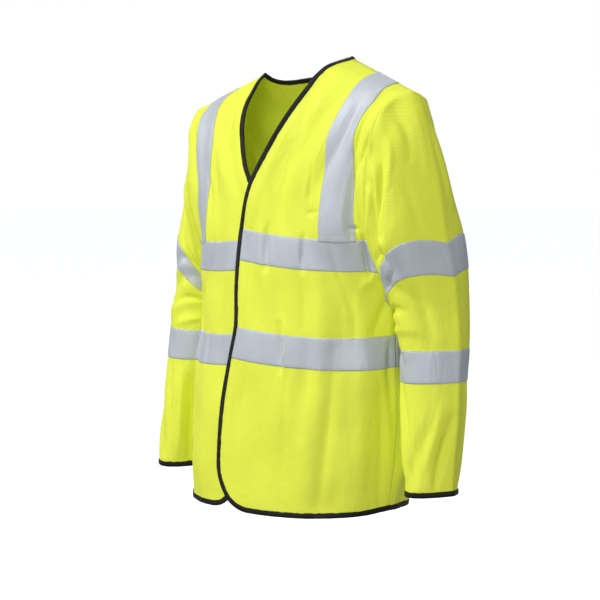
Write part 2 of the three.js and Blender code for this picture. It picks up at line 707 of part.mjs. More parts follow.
const hemSteps = back.grid.map((column) => [column[0], column[1]]);
jacket.add(binding("hem_binding_back", hemSteps));
const topRow = back.levels.length - 1;
const neckColumns = back.grid.slice(sideColumn - neckColumn, sideColumn + neckColumn + 1);
const neckSteps = neckColumns.map((column) => [column[topRow], column[topRow - 1]]);
const drawnIn = (step, next) => step.map((cell, k) => towards(cell, next[k], neckBindingInset));
const neckEnd = neckSteps.length - 1;
const neckInside = neckSteps.slice(1, neckEnd);
const neckStart = drawnIn(neckSteps[0], neckSteps[1]);
const neckFinish = drawnIn(neckSteps[neckEnd], neckSteps[neckEnd - 1]);
jacket.add(binding("neck_binding_back", [neckStart, ...neckInside, neckFinish], { alongRows: true }));

// Hook strip inside the left front and loop strip outside the right front
const hookCells = cellsBetween(fronts.left, -585, -225, 1, 2);
const hookStrip = endsDrawnIn(hookCells, layerGap, 0);
jacket.add(layer("hook_strip", hookStrip, fastenerWall, fastenerYellow, { below: true }));
const loopCells = cellsBetween(fronts.right, -585, -225, 1, 2);
jacket.add(layer("loop_strip", endsDrawnIn(loopCells, layerGap, 0), fastenerWall, fastenerYellow));

export default jacket;
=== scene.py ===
"""High-visibility long-sleeved work jacket, yellow with black edge binding and grey reflective tape.

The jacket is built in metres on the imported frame; the tables below are in millimetres and turned
into metres by the mesh makers. +X is the wearer's left, -Y the front and +Z up, from the shoulders.
"""

import math

import bpy
import numpy as np
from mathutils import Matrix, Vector


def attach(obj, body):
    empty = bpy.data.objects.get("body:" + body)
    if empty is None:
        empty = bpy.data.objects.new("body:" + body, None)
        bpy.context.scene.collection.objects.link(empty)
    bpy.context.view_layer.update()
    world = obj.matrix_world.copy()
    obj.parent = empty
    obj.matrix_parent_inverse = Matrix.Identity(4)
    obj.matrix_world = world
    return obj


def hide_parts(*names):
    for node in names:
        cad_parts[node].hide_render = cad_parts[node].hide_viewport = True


SEED = 7
MM = 0.001

# Thicknesses in mm, and how far a tape and a fastening strip lie off the cloth
CLOTH = 0.8
TAPE = 0.6
TAPE_LIFT = 0.35
ON_TAPE = TAPE_LIFT + TAPE
FASTENER = 0.9
FASTENER_LIFT = 0.3

# Levels, which on a sleeve are distances down it, and sizes in mm. A tape, strip or binding has a
# gap, inset or reach from the edge beside it, and a lap over the piece that it meets.
HEM_LEVEL = -695.0
UNDERARM_LEVEL = -356.0
CHEST_BAND = (-310.0, -261.0)
WAIST_BAND = (-462.5, -413.0)
UPPER_SLEEVE_BAND = (200.0, 248.0)
LOWER_SLEEVE_BAND = (360.0, 410.0)
CORNER_RADIUS = 70.0
NECK_HALF_WIDTH = 102.0
BACK_NECK_DROP = 25.0
NECK_BEND_DEPTH = 143.0
BINDING_WIDTH = 7.0
END_LAP = 1.2
FASTENER_INSET = 1.2
FASTENER_REACH = 28.0
FASTENER_LEVELS = (-585.0, -225.0)
PANEL_WIDTH = 260.0
SLEEVE_GIRTH = 330.0
SLEEVE_END = 586.0
ARMHOLE_GAP = 0.5
ARMHOLE_CENTRE = (2.0, -205.0)
ARMHOLE_SHIFT = 8.0
UNDERLAP = 3.0
TAPE_GAP = 0.6
BRACE_LAP = 4.0
ROW_SPACING = 3.0

# Stitches: sizes in mm, and how far inside an edge they run, on a brace as a share of its width
STITCH_LENGTH = 2.6
STITCH_PITCH = 3.6
STITCH_WIDTH = 0.72
STITCH_SIDES = 4
STITCH_FLATNESS = 0.7
STITCH_WANDER = 0.12
SEAM_INSET = 4.0
TAPE_INSET = 1.8
BINDING_INSET = BINDING_WIDTH - 1.4
BRACE_INSET = 0.045
BINDING_TOP = 1.5
THREAD_LIFT = 0.1

# Share of a pressed flat section in a sleeve's round one, and what the finer creases are raised by
PRESSED_CREASE = 0.55
CREASE_RISE = 1.6

# Grid cells across and along each fine panel
FRONT_CELLS = (100, 256)
BACK_CELLS = (172, 236)
SLEEVE_CELLS = (124, 216)
BRACE_CELLS = 24

# Forms, the same as the CAD's

# How far the left side of the body rides up, and the right side hangs down, by level
SLIDE = np.array([[-695, 0], [-462, 5], [-413, 5], [-310, 6.5], [-190, 8.5], [0, 12]], float)

FRONT_COLUMNS = "level leftX leftY rightX rightY sideX sideY sideZ fill1X fill1Y fill2X fill2Y".split()
FRONT_ROWS = [
    [-695, -46, -143, -4, -137, 200, -4, -685, 84, -146, 197, -92],
    [-610, -46, -142, -4, -136, 206, 2, -611, 84, -146, 203, -92],
    [-535, -42, -138, 0, -132, 208, 6, -540, 88, -142, 206, -90],
    [-462.5, -31, -131, 10, -125, 207, 4, -469, 92, -138, 205, -88],
    [-413, -22, -127, 20, -121, 206, 3, -419, 92, -134, 203, -86],
    [-356, -23, -124.5, 22, -118, 204, 2, -357, 82, -131, 196, -90],
    [-310, -22, -122, 22, -116, 207, -22, -322, 68, -128, 175, -98],
    [-261, -18, -118, 22, -112, 212, -52, -275, 56, -124, 150, -102],
    [-190, 1, -115, 4, -109, 217, -74, -203, 60, -112, 140, -86],
    [-143, 27, -107, -34, -94, 219, -72, -155, 85, -98, 152, -78],
    [-108, 47, -98, -56, -79, 223, -66, -120, 100, -88, 165, -72],
    [-78, 65, -87, -71, -66, 227, -58, -92, 115, -74, 172, -62],
    [-45, 82, -68, -84, -44, 233, -40, -70, 131, -58, 182, -48],
    [-25, 91, -54, -88, -27, 240, -26, -62, 140, -44, 190, -36],
    [-10, 97, -30, -95, -10, 246, -14, -58, 147, -24, 197, -19],
    [0, 102, 8, -102, 8, 251, 0, -54.5, 151.7, 5.3, 201.3, 2.7],
]

# How much further back the right armhole's front edge runs
ARMHOLE = np.array([[-356, 0], [-310, 7], [-261, 12], [-190, 15], [-108, 12], [-45, 6], [0, 0]], float)

BACK_COLUMNS = "level centreY centreZ sideX sideY sideZ fill1X fill1Y fill2X fill2Y".split()
BACK_ROWS = [
    [-695, 128, -690, 200, -4, -685, 96, 134, 193, 80],
    [-610, 125, -608, 206, 2, -611, 98, 132, 199, 82],
    [-535, 119, -535, 208, 6, -540, 98, 128, 202, 82],
    [-462.5, 113, -463, 207, 4, -469, 98, 122, 202, 80],
    [-413, 111, -413, 206, 3, -419, 98, 120, 201, 80],
    [-356, 112, -354, 204, 2, -357, 94, 122, 197, 84],
    [-310, 115, -308, 207, 30, -322, 88, 124, 176, 96],
    [-261, 116, -260, 213, 57, -272, 84, 124, 160, 102],
    [-190, 114, -190, 219, 72, -198, 80, 120, 154, 100],
    [-143, 110, -142, 223, 70, -152, 80, 114, 156, 94],
    [-108, 104, -105, 228, 62, -120, 80, 106, 160, 86],
    [-78, 95, -73, 234, 52, -94, 82, 96, 164, 74],
    [-45, 78, -36, 241, 38, -74, 83, 76, 166, 57],
    [-25, 60, -8, 246, 28, -64, 83, 56, 166, 41],
    [-10, 36, 16, 249, 13, -58, 83, 32, 166, 21],
    [0, 13.5, 37, 251, 0, -54.5, 83.7, 9, 167.3, 4.5],
]

# Brace tapes: their edges' distance from the centre line by level
BRACE = np.array([[-695, 137, 187], [-261, 137, 187], [-190, 138, 187], [-108, 142, 191],
                  [-45, 160, 207], [0, 165, 211]], float)

# Sleeve sections: distance down, four points of the section, a lift and a swing of the right one
RINGS = [
    [60, [212, 3, -364], [232, -75, -215], [268, 3, -96], [241, 71, -207], 11, 26],
    [130, [213, 5, -370], [244, -71, -258], [289, 9, -184], [253, 73, -248], 8, 26],
    [200, [213, 8, -378], [251, -64, -292], [304, 16, -273], [262, 81, -279], 4.5, 15],
    [248, [213, 11, -388], [255, -47, -335], [311, 22, -324], [267, 86, -325], 4.5, -1],
    [310, [213, 15, -408], [258, -27, -385], [316, 27, -380], [269, 85, -380], 1, -19],
    [360, [213.5, 18, -435], [259, -22, -433], [319, 28, -431], [271, 81, -431], 0, -29],
    [410, [214, 20, -482], [261, -22, -483], [320, 26, -480], [272, 75, -481], 0, -33],
    [475, [221, 18, -547], [265, -28, -547], [320, 22, -545], [276, 66, -545], 1, -36],
    [535, [231, 14, -606], [270, -32, -606], [318, 17, -605], [280, 56, -605], 3, -38],
    [577, [239, 11, -648], [275, -31, -649], [317, 15, -646], [283, 49, -647], 4, -39],
    [586, [240, 10, -657], [275, -30, -658], [318, 15, -655], [283, 48, -656], 4, -39],
]

# Folds: place across and level of both ends, half width and height in mm. A row that ends in
# PRESSED has a sharp line along it, and the others are rounded. These four tables are the CAD's.
PRESSED = True
LEFT_FRONT_FOLDS = [
    [0.86, -120, 0.9, -300, 15, -7],
    [0.47, -335, 0.44, -560, 13, -5],
    [0.53, -330, 0.52, -600, 15, 4],
    [0.3, -215, 0.32, -345, 13, -4],
    [0.62, -225, 0.66, -420, 15, -4],
    [0.75, -60, 0.6, -190, 14, -4],
    [0.8, -430, 0.74, -690, 20, 6],
    [0.24, -520, 0.2, -690, 18, -4],
]
RIGHT_FRONT_FOLDS = [
    [0.86, -130, 0.9, -300, 15, -6],
    [0.42, -225, 0.46, -345, 13, -5],
    [0.62, -360, 0.58, -560, 14, -6],
    [0.7, -330, 0.68, -640, 15, 5],
    [0.34, -470, 0.3, -690, 20, 5],
]
BACK_FOLDS = [
    [0.35, -240, 0.42, -690, 22, -6],
    [0.6, -330, 0.62, -690, 20, 6],
    [0.78, -420, 0.82, -695, 18, -7],
    [0.05, -110, 0.3, -230, 18, -4],
    [0.8, -140, 0.78, -300, 16, -5],
]
SLEEVE_FOLDS = [
    [0.42, 15, 0.2, 150, 13, -5],
    [0.3, 20, 0.14, 90, 12, 4],
    [0.6, 40, 0.72, 170, 14, -6],
    [0.12, 215, 0.36, 300, 12, -6],
    [0.1, 290, 0.4, 345, 12, 4],
    [0.4, 470, 0.24, 570, 15, -5],
    [0.85, 300, 0.66, 420, 14, -5],
    [0.7, 450, 0.8, 560, 14, 4],
]

# Finer creases that only the cloth has
LEFT_FRONT_CREASES = [
    [0.316, -395, 0.34, -472, 2.4, 3.4, PRESSED],
    [0.29, -398, 0.316, -470, 4.2, -5],
    [0.35, -470, 0.37, -640, 4, -1.4, PRESSED],
    [0.262, -250, 0.236, -318, 5, -4.4],
    [0.21, -255, 0.19, -325, 6, 1.6],
    [0.26, -312, 0.31, -392, 7, -2.4],
    [0.54, -256, 0.475, -314, 4, -4.2],
    [0.46, -312, 0.43, -400, 7, -1.8],
    [0.945, -258, 0.885, -322, 5, -6],
    [0.885, -110, 0.86, -258, 6, -4],
    [0.93, -150, 0.925, -262, 4, 2.2],
    [0.84, -244, 0.93, -243, 2.6, -3.2],
    [0.565, -224, 0.65, -221, 2.6, -1.6],
    [0.505, -130, 0.6, -230, 2.2, -2, PRESSED],
    [0.545, -90, 0.53, -210, 2.5, 1, PRESSED],
    [1, -96, 0.93, -156, 5, -3.4],
    [0.9, -50, 0.84, -150, 6, -2.6],
    [0.72, -262, 0.7, -325, 6, -2.2],
    [0.7, -325, 0.74, -405, 8, -2.6],
    [0.98, -300, 0.8, -345, 7, 2.6],
    [0.99, -350, 0.82, -420, 8, -3.4],
    [0.97, -372, 0.9, -470, 8, 2.4],
    [0.94, -400, 0.97, -560, 7, -3],
    [0.12, -480, 0.1, -600, 5, -1.6],
    [0.16, -330, 0.14, -405, 5, -1.6],
    [0.6, -470, 0.56, -685, 8, -2.4],
    [0.46, -520, 0.5, -650, 14, 3],
    [0.88, -480, 0.93, -692, 9, -3.2],
    [0.78, -520, 0.8, -680, 10, 2.2],
    [0.1, -60, 0.3, -110, 9, -1.8],
    [0.08, -150, 0.24, -196, 7, 1.6],
    [0.3, -150, 0.4, -250, 9, -1.8],
]
RIGHT_FRONT_CREASES = [
    [0.52, -255, 0.5, -345, 5, -2.8],
    [0.74, -262, 0.7, -330, 5, 2.6],
    [0.665, -402, 0.65, -466, 3, 2.6, PRESSED],
    [0.61, -400, 0.6, -470, 5, -3],
    [0.41, -400, 0.36, -468, 5, -3.2],
    [0.3, -330, 0.26, -460, 6, -1.8],
    [0.92, -70, 0.86, -190, 7, -3.2],
    [0.64, -150, 0.62, -258, 5, -2.2],
    [0.97, -250, 0.84, -330, 7, -3.2],
    [0.98, -352, 0.84, -440, 8, -3],
    [0.82, -480, 0.86, -690, 9, 3],
    [0.66, -470, 0.7, -600, 8, -3],
    [0.5, -520, 0.56, -690, 9, -2.6],
    [0.2, -60, 0.4, -130, 9, -2],
    [0.15, -180, 0.26, -300, 5, -1.4],
]
BACK_CREASES = [
    [0.14, -300, 0.16, -520, 5, -1.6, PRESSED],
    [0.5, -110, 0.52, -250, 4, -1, PRESSED],
    [0.94, -70, 0.84, -220, 8, -2.8],
    [0.97, -150, 0.9, -260, 7, 2.4],
    [0.98, -280, 0.78, -350, 8, -2.8],
    [0.98, -345, 0.82, -450, 9, 2.2],
    [0.24, -430, 0.22, -690, 12, 2.6],
    [0.52, -420, 0.5, -660, 10, -2.2],
    [0.7, -350, 0.68, -520, 8, 2],
    [0.9, -480, 0.94, -690, 11, 2.4],
    [0.3, -60, 0.1, -95, 10, -1.8],
]
SLEEVE_CREASES = [
    [0.455, 0, 0.43, 95, 3.6, -3.6],
    [0.485, 4, 0.475, 120, 4, 2.2],
    [0.42, 2, 0.34, 100, 5, 2.6],
    [0.38, 2, 0.28, 110, 4.5, -3.8],
    [0.3, 2, 0.2, 150, 7, -3.4],
    [0.24, 5, 0.14, 110, 6, 2.6],
    [0.16, 5, 0.06, 90, 6, -2.6],
    [0.565, 35, 0.64, 115, 5, -6],
    [0.53, 60, 0.57, 160, 5, 2.4],
    [0.66, 10, 0.8, 130, 7, 2.6],
    [0.78, 10, 0.93, 90, 7, -2.8],
    [0.17, 135, 0.268, 238, 6, -5],
    [0.225, 140, 0.31, 226, 6, 2.8],
    [0.262, 232, 0.17, 238, 5, -3.4],
    [0.05, 235, 0.2, 252, 7, 2.6],
    [0.02, 262, 0.26, 298, 7, -3.6],
    [0.04, 318, 0.3, 332, 8, 2.8],
    [0.02, 345, 0.22, 384, 8, -3.4],
    [0.92, 240, 0.76, 300, 8, -2.8],
    [0.94, 310, 0.74, 350, 8, 2.6],
    [0.48, 462, 0.415, 574, 6, -5],
    [0.44, 440, 0.37, 540, 7, 2.2],
    [0.16, 400, 0.3, 560, 9, -3.6],
    [0.9, 430, 0.7, 540, 9, -2.8],
    [0.06, 540, 0.2, 577, 6, -2],
    [0.58, 400, 0.62, 560, 8, 2.2],
    [0.4, 120, 0.43, 200, 5, -1.8],
    [0.34, 250, 0.38, 350, 9, -2.4],
]
RIGHT_SLEEVE_CREASES = [
    [0.42, 4, 0.36, 120, 6, -2.8],
    [0.34, 4, 0.2, 80, 6, 2.4],
    [0.22, 4, 0.14, 130, 8, -2.6],
    [0.6, 5, 0.7, 110, 7, -2.6],
    [0.7, 10, 0.86, 120, 7, 2.2],
    [0.12, 180, 0.34, 250, 8, -2.8],
    [0.04, 262, 0.28, 318, 7, -2.8],
    [0.06, 330, 0.26, 352, 7, 2.2],
    [0.1, 440, 0.035, 572, 8, -6],
    [0.17, 430, 0.11, 560, 7, 3.4],
    [0.28, 415, 0.2, 560, 8, -3],
    [0.92, 250, 0.76, 330, 8, -2.6],
    [0.88, 430, 0.72, 560, 9, -2.6],
    [0.58, 300, 0.62, 480, 8, 1.8],
]

# Long shallow waves over every panel: period across and along in mm, and height
WAVES = [[150, 210, 1.2], [-95, 260, 1.0], [64, 340, 0.65], [210, -120, 0.8], [47, 150, 0.35]]

# Ripples along sewn lines: period in mm and share
RIPPLES = [[11.3, 0.5], [17.9, 0.6], [31.0, 0.5]]

# Sewn lines: depth of the valley, height of the puckers and how far they reach, in mm
SEWN = {
    "band": [0.25, 0.3, 9],
    "side": [0.7, 0.5, 9],
    "shoulder": [0.6, 0.35, 8],
    "sleeve_band": [0.25, 0.35, 9],
    "sleeve_head": [0.5, 0.7, 10],
}
VALLEY_WIDTH = 2.4

# Places across a panel at which its length is measured
PLACES = np.linspace(0, 1, 401)

rng = np.random.default_rng(SEED)

# Curves and forms


def columns(names, rows):
    """A table's columns by name."""
    data = np.array(rows, float)
    return {name: data[:, k] for k, name in enumerate(names)}


def spline_weights(knots, at):
    """Each knot's share of a smooth curve through the knots' values, at each place."""
    knots = np.asarray(knots, float)
    count = len(knots)
    hold = np.eye(count)
    gaps = np.diff(knots)[:, None]
    slopes = (hold[1:] - hold[:-1]) / gaps
    inner = (slopes[:-1] * gaps[1:] + slopes[1:] * gaps[:-1]) / (gaps[:-1] + gaps[1:])
    tangents = np.concatenate([slopes[:1], inner, slopes[-1:]])
    t = np.clip(at, knots[0], knots[-1])
    k = np.clip(np.searchsorted(knots, t, side="left") - 1, 0, count - 2)
    span = gaps[k]
    s = (t - knots[k])[..., None] / span
    return (
        hold[k] * (2 * s**3 - 3 * s**2 + 1)
        + hold[k + 1] * (3 * s**2 - 2 * s**3)
        + tangents[k] * span * (s**3 - 2 * s**2 + s)
        + tangents[k + 1] * span * (s**3 - s**2)
    )


def weighted(weights, *coordinates):
    """The point that the rows' coordinates make with their weights."""
    return np.stack([(weights * values).sum(-1) for values in coordinates], -1)


def bezier(p0, p1, p2, p3, t):
    r = 1 - t
    return r**3 * p0 + 3 * r * r * t * p1 + 3 * r * t * t * p2 + t**3 * p3


def slide_lift(side, level):
    """How far the jacket's slide to one side lifts a level of one side."""
    return side * np.interp(level, SLIDE[:, 0], SLIDE[:, 1])


def smooth(t):
    t = np.clip(t, 0, 1)
    return t * t * (3 - 2 * t)


def side_seam(side, level):
    """The line that a front and the back share below the sleeve."""
    low = [row for row in FRONT_ROWS if row[0] <= UNDERARM_LEVEL]
    row = columns(FRONT_COLUMNS, low)
    weights = spline_weights(row["level"], level)
    point = weighted(weights, side * row["sideX"], row["sideY"], row["sideZ"])
    point[..., 2] += slide_lift(side, level)
    return point


def to_side_seam(form, side, a, level):
    """Draws a form's side edge onto the shared seam below the sleeve."""
    point = form(side, a, level)
    seam = side_seam(side, level) - form(side, np.ones_like(a), level)
    below = (level <= UNDERARM_LEVEL) * smooth((a - 0.85) / 0.15)
    return point + seam * below[..., None]


def front_form(side, a, level):
    """Points of a front without its folds, by place across and level."""
    row = columns(FRONT_COLUMNS, FRONT_ROWS)
    edge = "left" if side > 0 else "right"
    edge_x, edge_y = side * row[edge + "X"], row[edge + "Y"]
    shift_x, shift_y = edge_x - row["leftX"], edge_y - row["leftY"]
    side_y = row["sideY"].copy()
    if side < 0:
        side_y += np.interp(row["level"], ARMHOLE[:, 0], ARMHOLE[:, 1])
    t = a[..., None]
    x = bezier(edge_x, row["fill1X"] + shift_x * 2 / 3, row["fill2X"] + shift_x / 3, row["sideX"], t)
    y = bezier(edge_y, row["fill1Y"] + shift_y * 2 / 3, row["fill2Y"] + shift_y / 3, side_y, t)
    sag = 6 * np.sin(np.pi * t) * np.minimum(1, -row["level"] / 400)
    z = row["level"] + (row["sideZ"] - row["level"]) * t - sag
    weights = spline_weights(row["level"], level)
    point = weighted(weights, side * x, y, z)
    point[..., 2] += slide_lift(side, level)
    return point


def back_form(side, a, level):
    """Points of one half of the back without its folds, by place out from the middle and level."""
    row = columns(BACK_COLUMNS, BACK_ROWS)
    t = a[..., None]
    x = side * bezier(0, row["fill1X"], row["fill2X"], row["sideX"], t)
    y = bezier(row["centreY"], row["fill1Y"], row["fill2Y"], row["sideY"], t)
    z = row["centreZ"] + (row["sideZ"] - row["centreZ"]) * t
    weights = spline_weights(row["level"], level)
    point = weighted(weights, x, y, z)
    point[..., 2] += slide_lift(side, level) * np.minimum(1, a / 0.4)
    return point


def fold_height(folds, across, level, size, wraps=False):
    """Height of all folds of a table, on a panel that is so many mm across."""
    height = np.zeros(np.broadcast(across, level).shape)
    for turn in (-1, 0, 1) if wraps else (0,):
        for across1, level1, across2, level2, half_width, tall, *pressed in folds:
            dx, dz = (across2 - across1) * size, level2 - level1
            px, pz = (across + turn - across1) * size, level - level1
            along = np.clip((px * dx + pz * dz) / (dx * dx + dz * dz), 0, 1)
            off = np.hypot(px - along * dx, pz - along * dz) / half_width
            shape = np.exp(-off) if pressed else np.exp(-(off**2))
            height += tall * np.sin(np.pi * (0.1 + 0.8 * along)) * shape
    return height


def wave_height(x, z, phase):
    height = 0
    for k, (period_x, period_z, tall) in enumerate(WAVES):
        height = height + tall * np.sin(2 * np.pi * (x / period_x + z / period_z) + phase * (k + 1.7))
    return height


def ripple(along, phase):
    """Uneven puckers along a sewn line."""
    height = 0
    for k, (period, share) in enumerate(RIPPLES):
        height = height + share * np.sin(2 * np.pi * along / period + phase * (k + 2.3))
    return height * (0.6 + 0.4 * np.sin(along / 37 + phase))


def sewn(kind, distance, along, phase):
    """The valley of a sewn line and the puckers beside it."""
    valley, pucker, reach = SEWN[kind]
    sunk = valley * np.exp(-((distance / VALLEY_WIDTH) ** 2))
    return pucker * ripple(along, phase) * np.exp(-distance / reach) - sunk


def lengths(points):
    """Running length along the first axis of a grid of points."""
    step = np.linalg.norm(np.diff(points, axis=0), axis=-1)
    return np.concatenate([np.zeros((1,) + step.shape[1:]), np.cumsum(step, axis=0)])


def unit(vectors):
    return vectors / np.maximum(np.linalg.norm(vectors, axis=-1, keepdims=True), 1e-9)


# Cloth panels: fine grids that everything else is laid on


class Cloth:
    """Outer points and normals of a panel, by place across and row along."""

    def __init__(self, points, rows, outward, wraps=False):
        self.rows, self.outward, self.wraps = rows, outward, wraps
        self.set_points(points)

    def set_points(self, points):
        self.points = points
        if self.wraps:
            around = (np.roll(points, -1, axis=0) - np.roll(points, 1, axis=0)) / 2
        else:
            around = np.gradient(points, axis=0)
        self.normals = unit(np.cross(around, np.gradient(points, axis=1))) * self.outward

    def raise_by(self, height):
        self.set_points(self.points + self.normals * height[..., None])

    def at(self, across, row, lift=0.0):
        """Points lifted off the cloth, and normals, at places from 0 to 1 across."""
        count = len(self.points)
        u = np.asarray(across, float) * (count if self.wraps else count - 1)
        v = np.interp(row, self.rows, np.arange(len(self.rows)))
        u, v = np.broadcast_arrays(u, v)
        v0 = np.clip(np.floor(v).astype(int), 0, len(self.rows) - 2)
        u0 = np.floor(u).astype(int)
        if not self.wraps:
            u0 = np.clip(u0, 0, count - 2)
        s, t = (u - u0)[..., None], (v - v0)[..., None]
        u0, u1 = u0 % count, (u0 + 1) % count

        def mix(grid):
            low = grid[u0, v0] * (1 - s) + grid[u1, v0] * s
            high = grid[u0, v0 + 1] * (1 - s) + grid[u1, v0 + 1] * s
            return low * (1 - t) + high * t

        normal = unit(mix(self.normals))
        return mix(self.points) + normal * lift, normal

    def across_at_distance(self, row, distance):
        """The place across that lies a distance from the first edge, at each row."""
        return np.array([np.interp(distance, lengths(self.at(PLACES, r)[0]), PLACES) for r in row])

    def widths(self, row):
        """The whole way across, at each row."""
        return np.array([lengths(self.at(PLACES, r)[0])[-1] for r in row])

    def across_at_width(self, row, width, side):
        """The place across that lies a distance from the centre line, on one side, at each row."""
        found = []
        for place_row, place_width in zip(row, width):
            reach = side * self.at(PLACES, place_row)[0][:, 0]
            order = np.argsort(reach)
            found.append(np.interp(place_width, reach[order], PLACES[order]))
        return np.array(found)


def panel_height(folds, creases, a, level, phase):
    """Folds, creases, waves and puckers of a front or the back, all of them flat at its edges."""
    across, from_side = a * PANEL_WIDTH, (1 - a) * PANEL_WIDTH
    above_hem = (level - HEM_LEVEL + 12) / 30
    fade = np.minimum.reduce([np.ones_like(a), a * 12, (1 - a) * 12, above_hem, -level / 30])
    height = fold_height(folds, a, level, PANEL_WIDTH) + wave_height(across, level, phase)
    height *= np.maximum(fade, 0)
    soft_edge = np.clip(np.minimum(from_side / 6, -level / 12), 0, 1)
    height += CREASE_RISE * fold_height(creases, a, level, PANEL_WIDTH) * soft_edge
    for line in (*CHEST_BAND, *WAIST_BAND):
        height += sewn("band", np.abs(level - line), across, phase + line) * soft_edge
    height += sewn("side", from_side, level, phase + 3)
    height += sewn("shoulder", -level, across, phase + 5)
    return height * np.clip(np.minimum(from_side, -level) / 5, 0, 1)


def front_cloth(side):
    """A front, its grid drawn in round the corner at the hem."""
    across = np.linspace(0, 1, FRONT_CELLS[0] + 1)[:, None]
    levels = np.linspace(HEM_LEVEL, 0, FRONT_CELLS[1] + 1)
    radius, inset = CORNER_RADIUS, CORNER_RADIUS * (1 - math.sqrt(0.5))
    map_height = WAIST_BAND[0] - HEM_LEVEL

    def arc(distance):
        return radius - np.sqrt(radius**2 - (radius - np.minimum(distance, radius)) ** 2)

    grid = np.broadcast_arrays(PLACES[:, None], levels[None, :])
    run = lengths(to_side_seam(front_form, side, *grid))
    start = np.interp(inset, run[:, 0], PLACES)
    hem_rise = arc(np.interp(start + across * (1 - start), PLACES, run[:, 0]))
    hem_rise[0] = inset

    def lift(rise):
        height = levels[None, :] - HEM_LEVEL
        return np.where(height < map_height, rise + height * (map_height - rise) / map_height, height)

    edge_inset = arc(lift(inset))[0]
    inset_place = np.array([np.interp(d, run[:, j], PLACES) for j, d in enumerate(edge_inset)])
    a = inset_place + across * (1 - inset_place)
    level = HEM_LEVEL + lift(hem_rise)
    cloth = Cloth(to_side_seam(front_form, side, a, level), levels, side)
    if side > 0:
        height = panel_height(LEFT_FRONT_FOLDS, LEFT_FRONT_CREASES, a, level, 0.4)
    else:
        height = panel_height(RIGHT_FRONT_FOLDS, RIGHT_FRONT_CREASES, a, level, 2.1)
        # Below the V the right front's edge is tucked under the left front
        height -= UNDERLAP * (1 - smooth((a - 0.1) / 0.25)) * smooth((-150 - level) / 60)
    cloth.raise_by(height)
    return cloth


def back_cloth():
    """The back, its upper rows bent down to the curve of the neck."""
    half = BACK_CELLS[0] // 2
    a = np.linspace(0, 1, half + 1)[:, None]
    levels = np.linspace(HEM_LEVEL, 0, BACK_CELLS[1] + 1)
    top_x = back_form(1, PLACES, 0 * PLACES)[:, 0]
    neck = np.interp(NECK_HALF_WIDTH, top_x, PLACES)
    drop = -BACK_NECK_DROP * np.sqrt(np.maximum(1 - (a / neck) ** 2, 0))
    row = levels[None, :]
    bent = drop + row * (NECK_BEND_DEPTH + drop) / NECK_BEND_DEPTH
    level = np.where(row > -NECK_BEND_DEPTH, bent, row)
    a = np.broadcast_to(a, level.shape)
    halves = {side: to_side_seam(back_form, side, a, level) for side in (-1, 1)}
    points = np.concatenate([halves[-1][:0:-1], halves[1]])
    cloth = Cloth(points, levels, -1)
    heights = {
        side: panel_height(BACK_FOLDS, BACK_CREASES, np.maximum(a, 0.09), level, 1.2 + side)
        for side in (-1, 1)
    }
    middle = smooth(a / 0.15)
    centre = (heights[-1][0] + heights[1][0]) / 2
    for side in (-1, 1):
        heights[side] = centre * (1 - middle) + heights[side] * middle
    cloth.raise_by(np.concatenate([heights[-1][:0:-1], heights[1]]))
    return cloth


def ring_points(ring, side, turn):
    """One sleeve section, part round and part pressed flat with a crease."""
    _, inner, front, crease, back, lift, swing = ring
    share = np.where(turn <= 0.5, turn * 2, (1 - turn) * 2)
    round_reach, round_depth = np.cos(np.pi * share), np.sin(np.pi * share)
    flat_reach, flat_depth = 1 - 2 * share, 4 * share * (1 - share)
    reach = (round_reach * (1 - PRESSED_CREASE) + flat_reach * PRESSED_CREASE)[:, None]
    depth = (round_depth * (1 - PRESSED_CREASE) + flat_depth * PRESSED_CREASE)[:, None]
    inner, crease = np.array(inner, float), np.array(crease, float)
    bow = np.where((turn <= 0.5)[:, None], np.array(front, float), np.array(back, float))
    centre = (inner + crease) / 2
    point = centre + (inner - centre) * reach + (bow - centre) * depth
    point[:, 0] *= side
    point[:, 1] += swing if side < 0 else 0
    point[:, 2] += side * lift
    return point


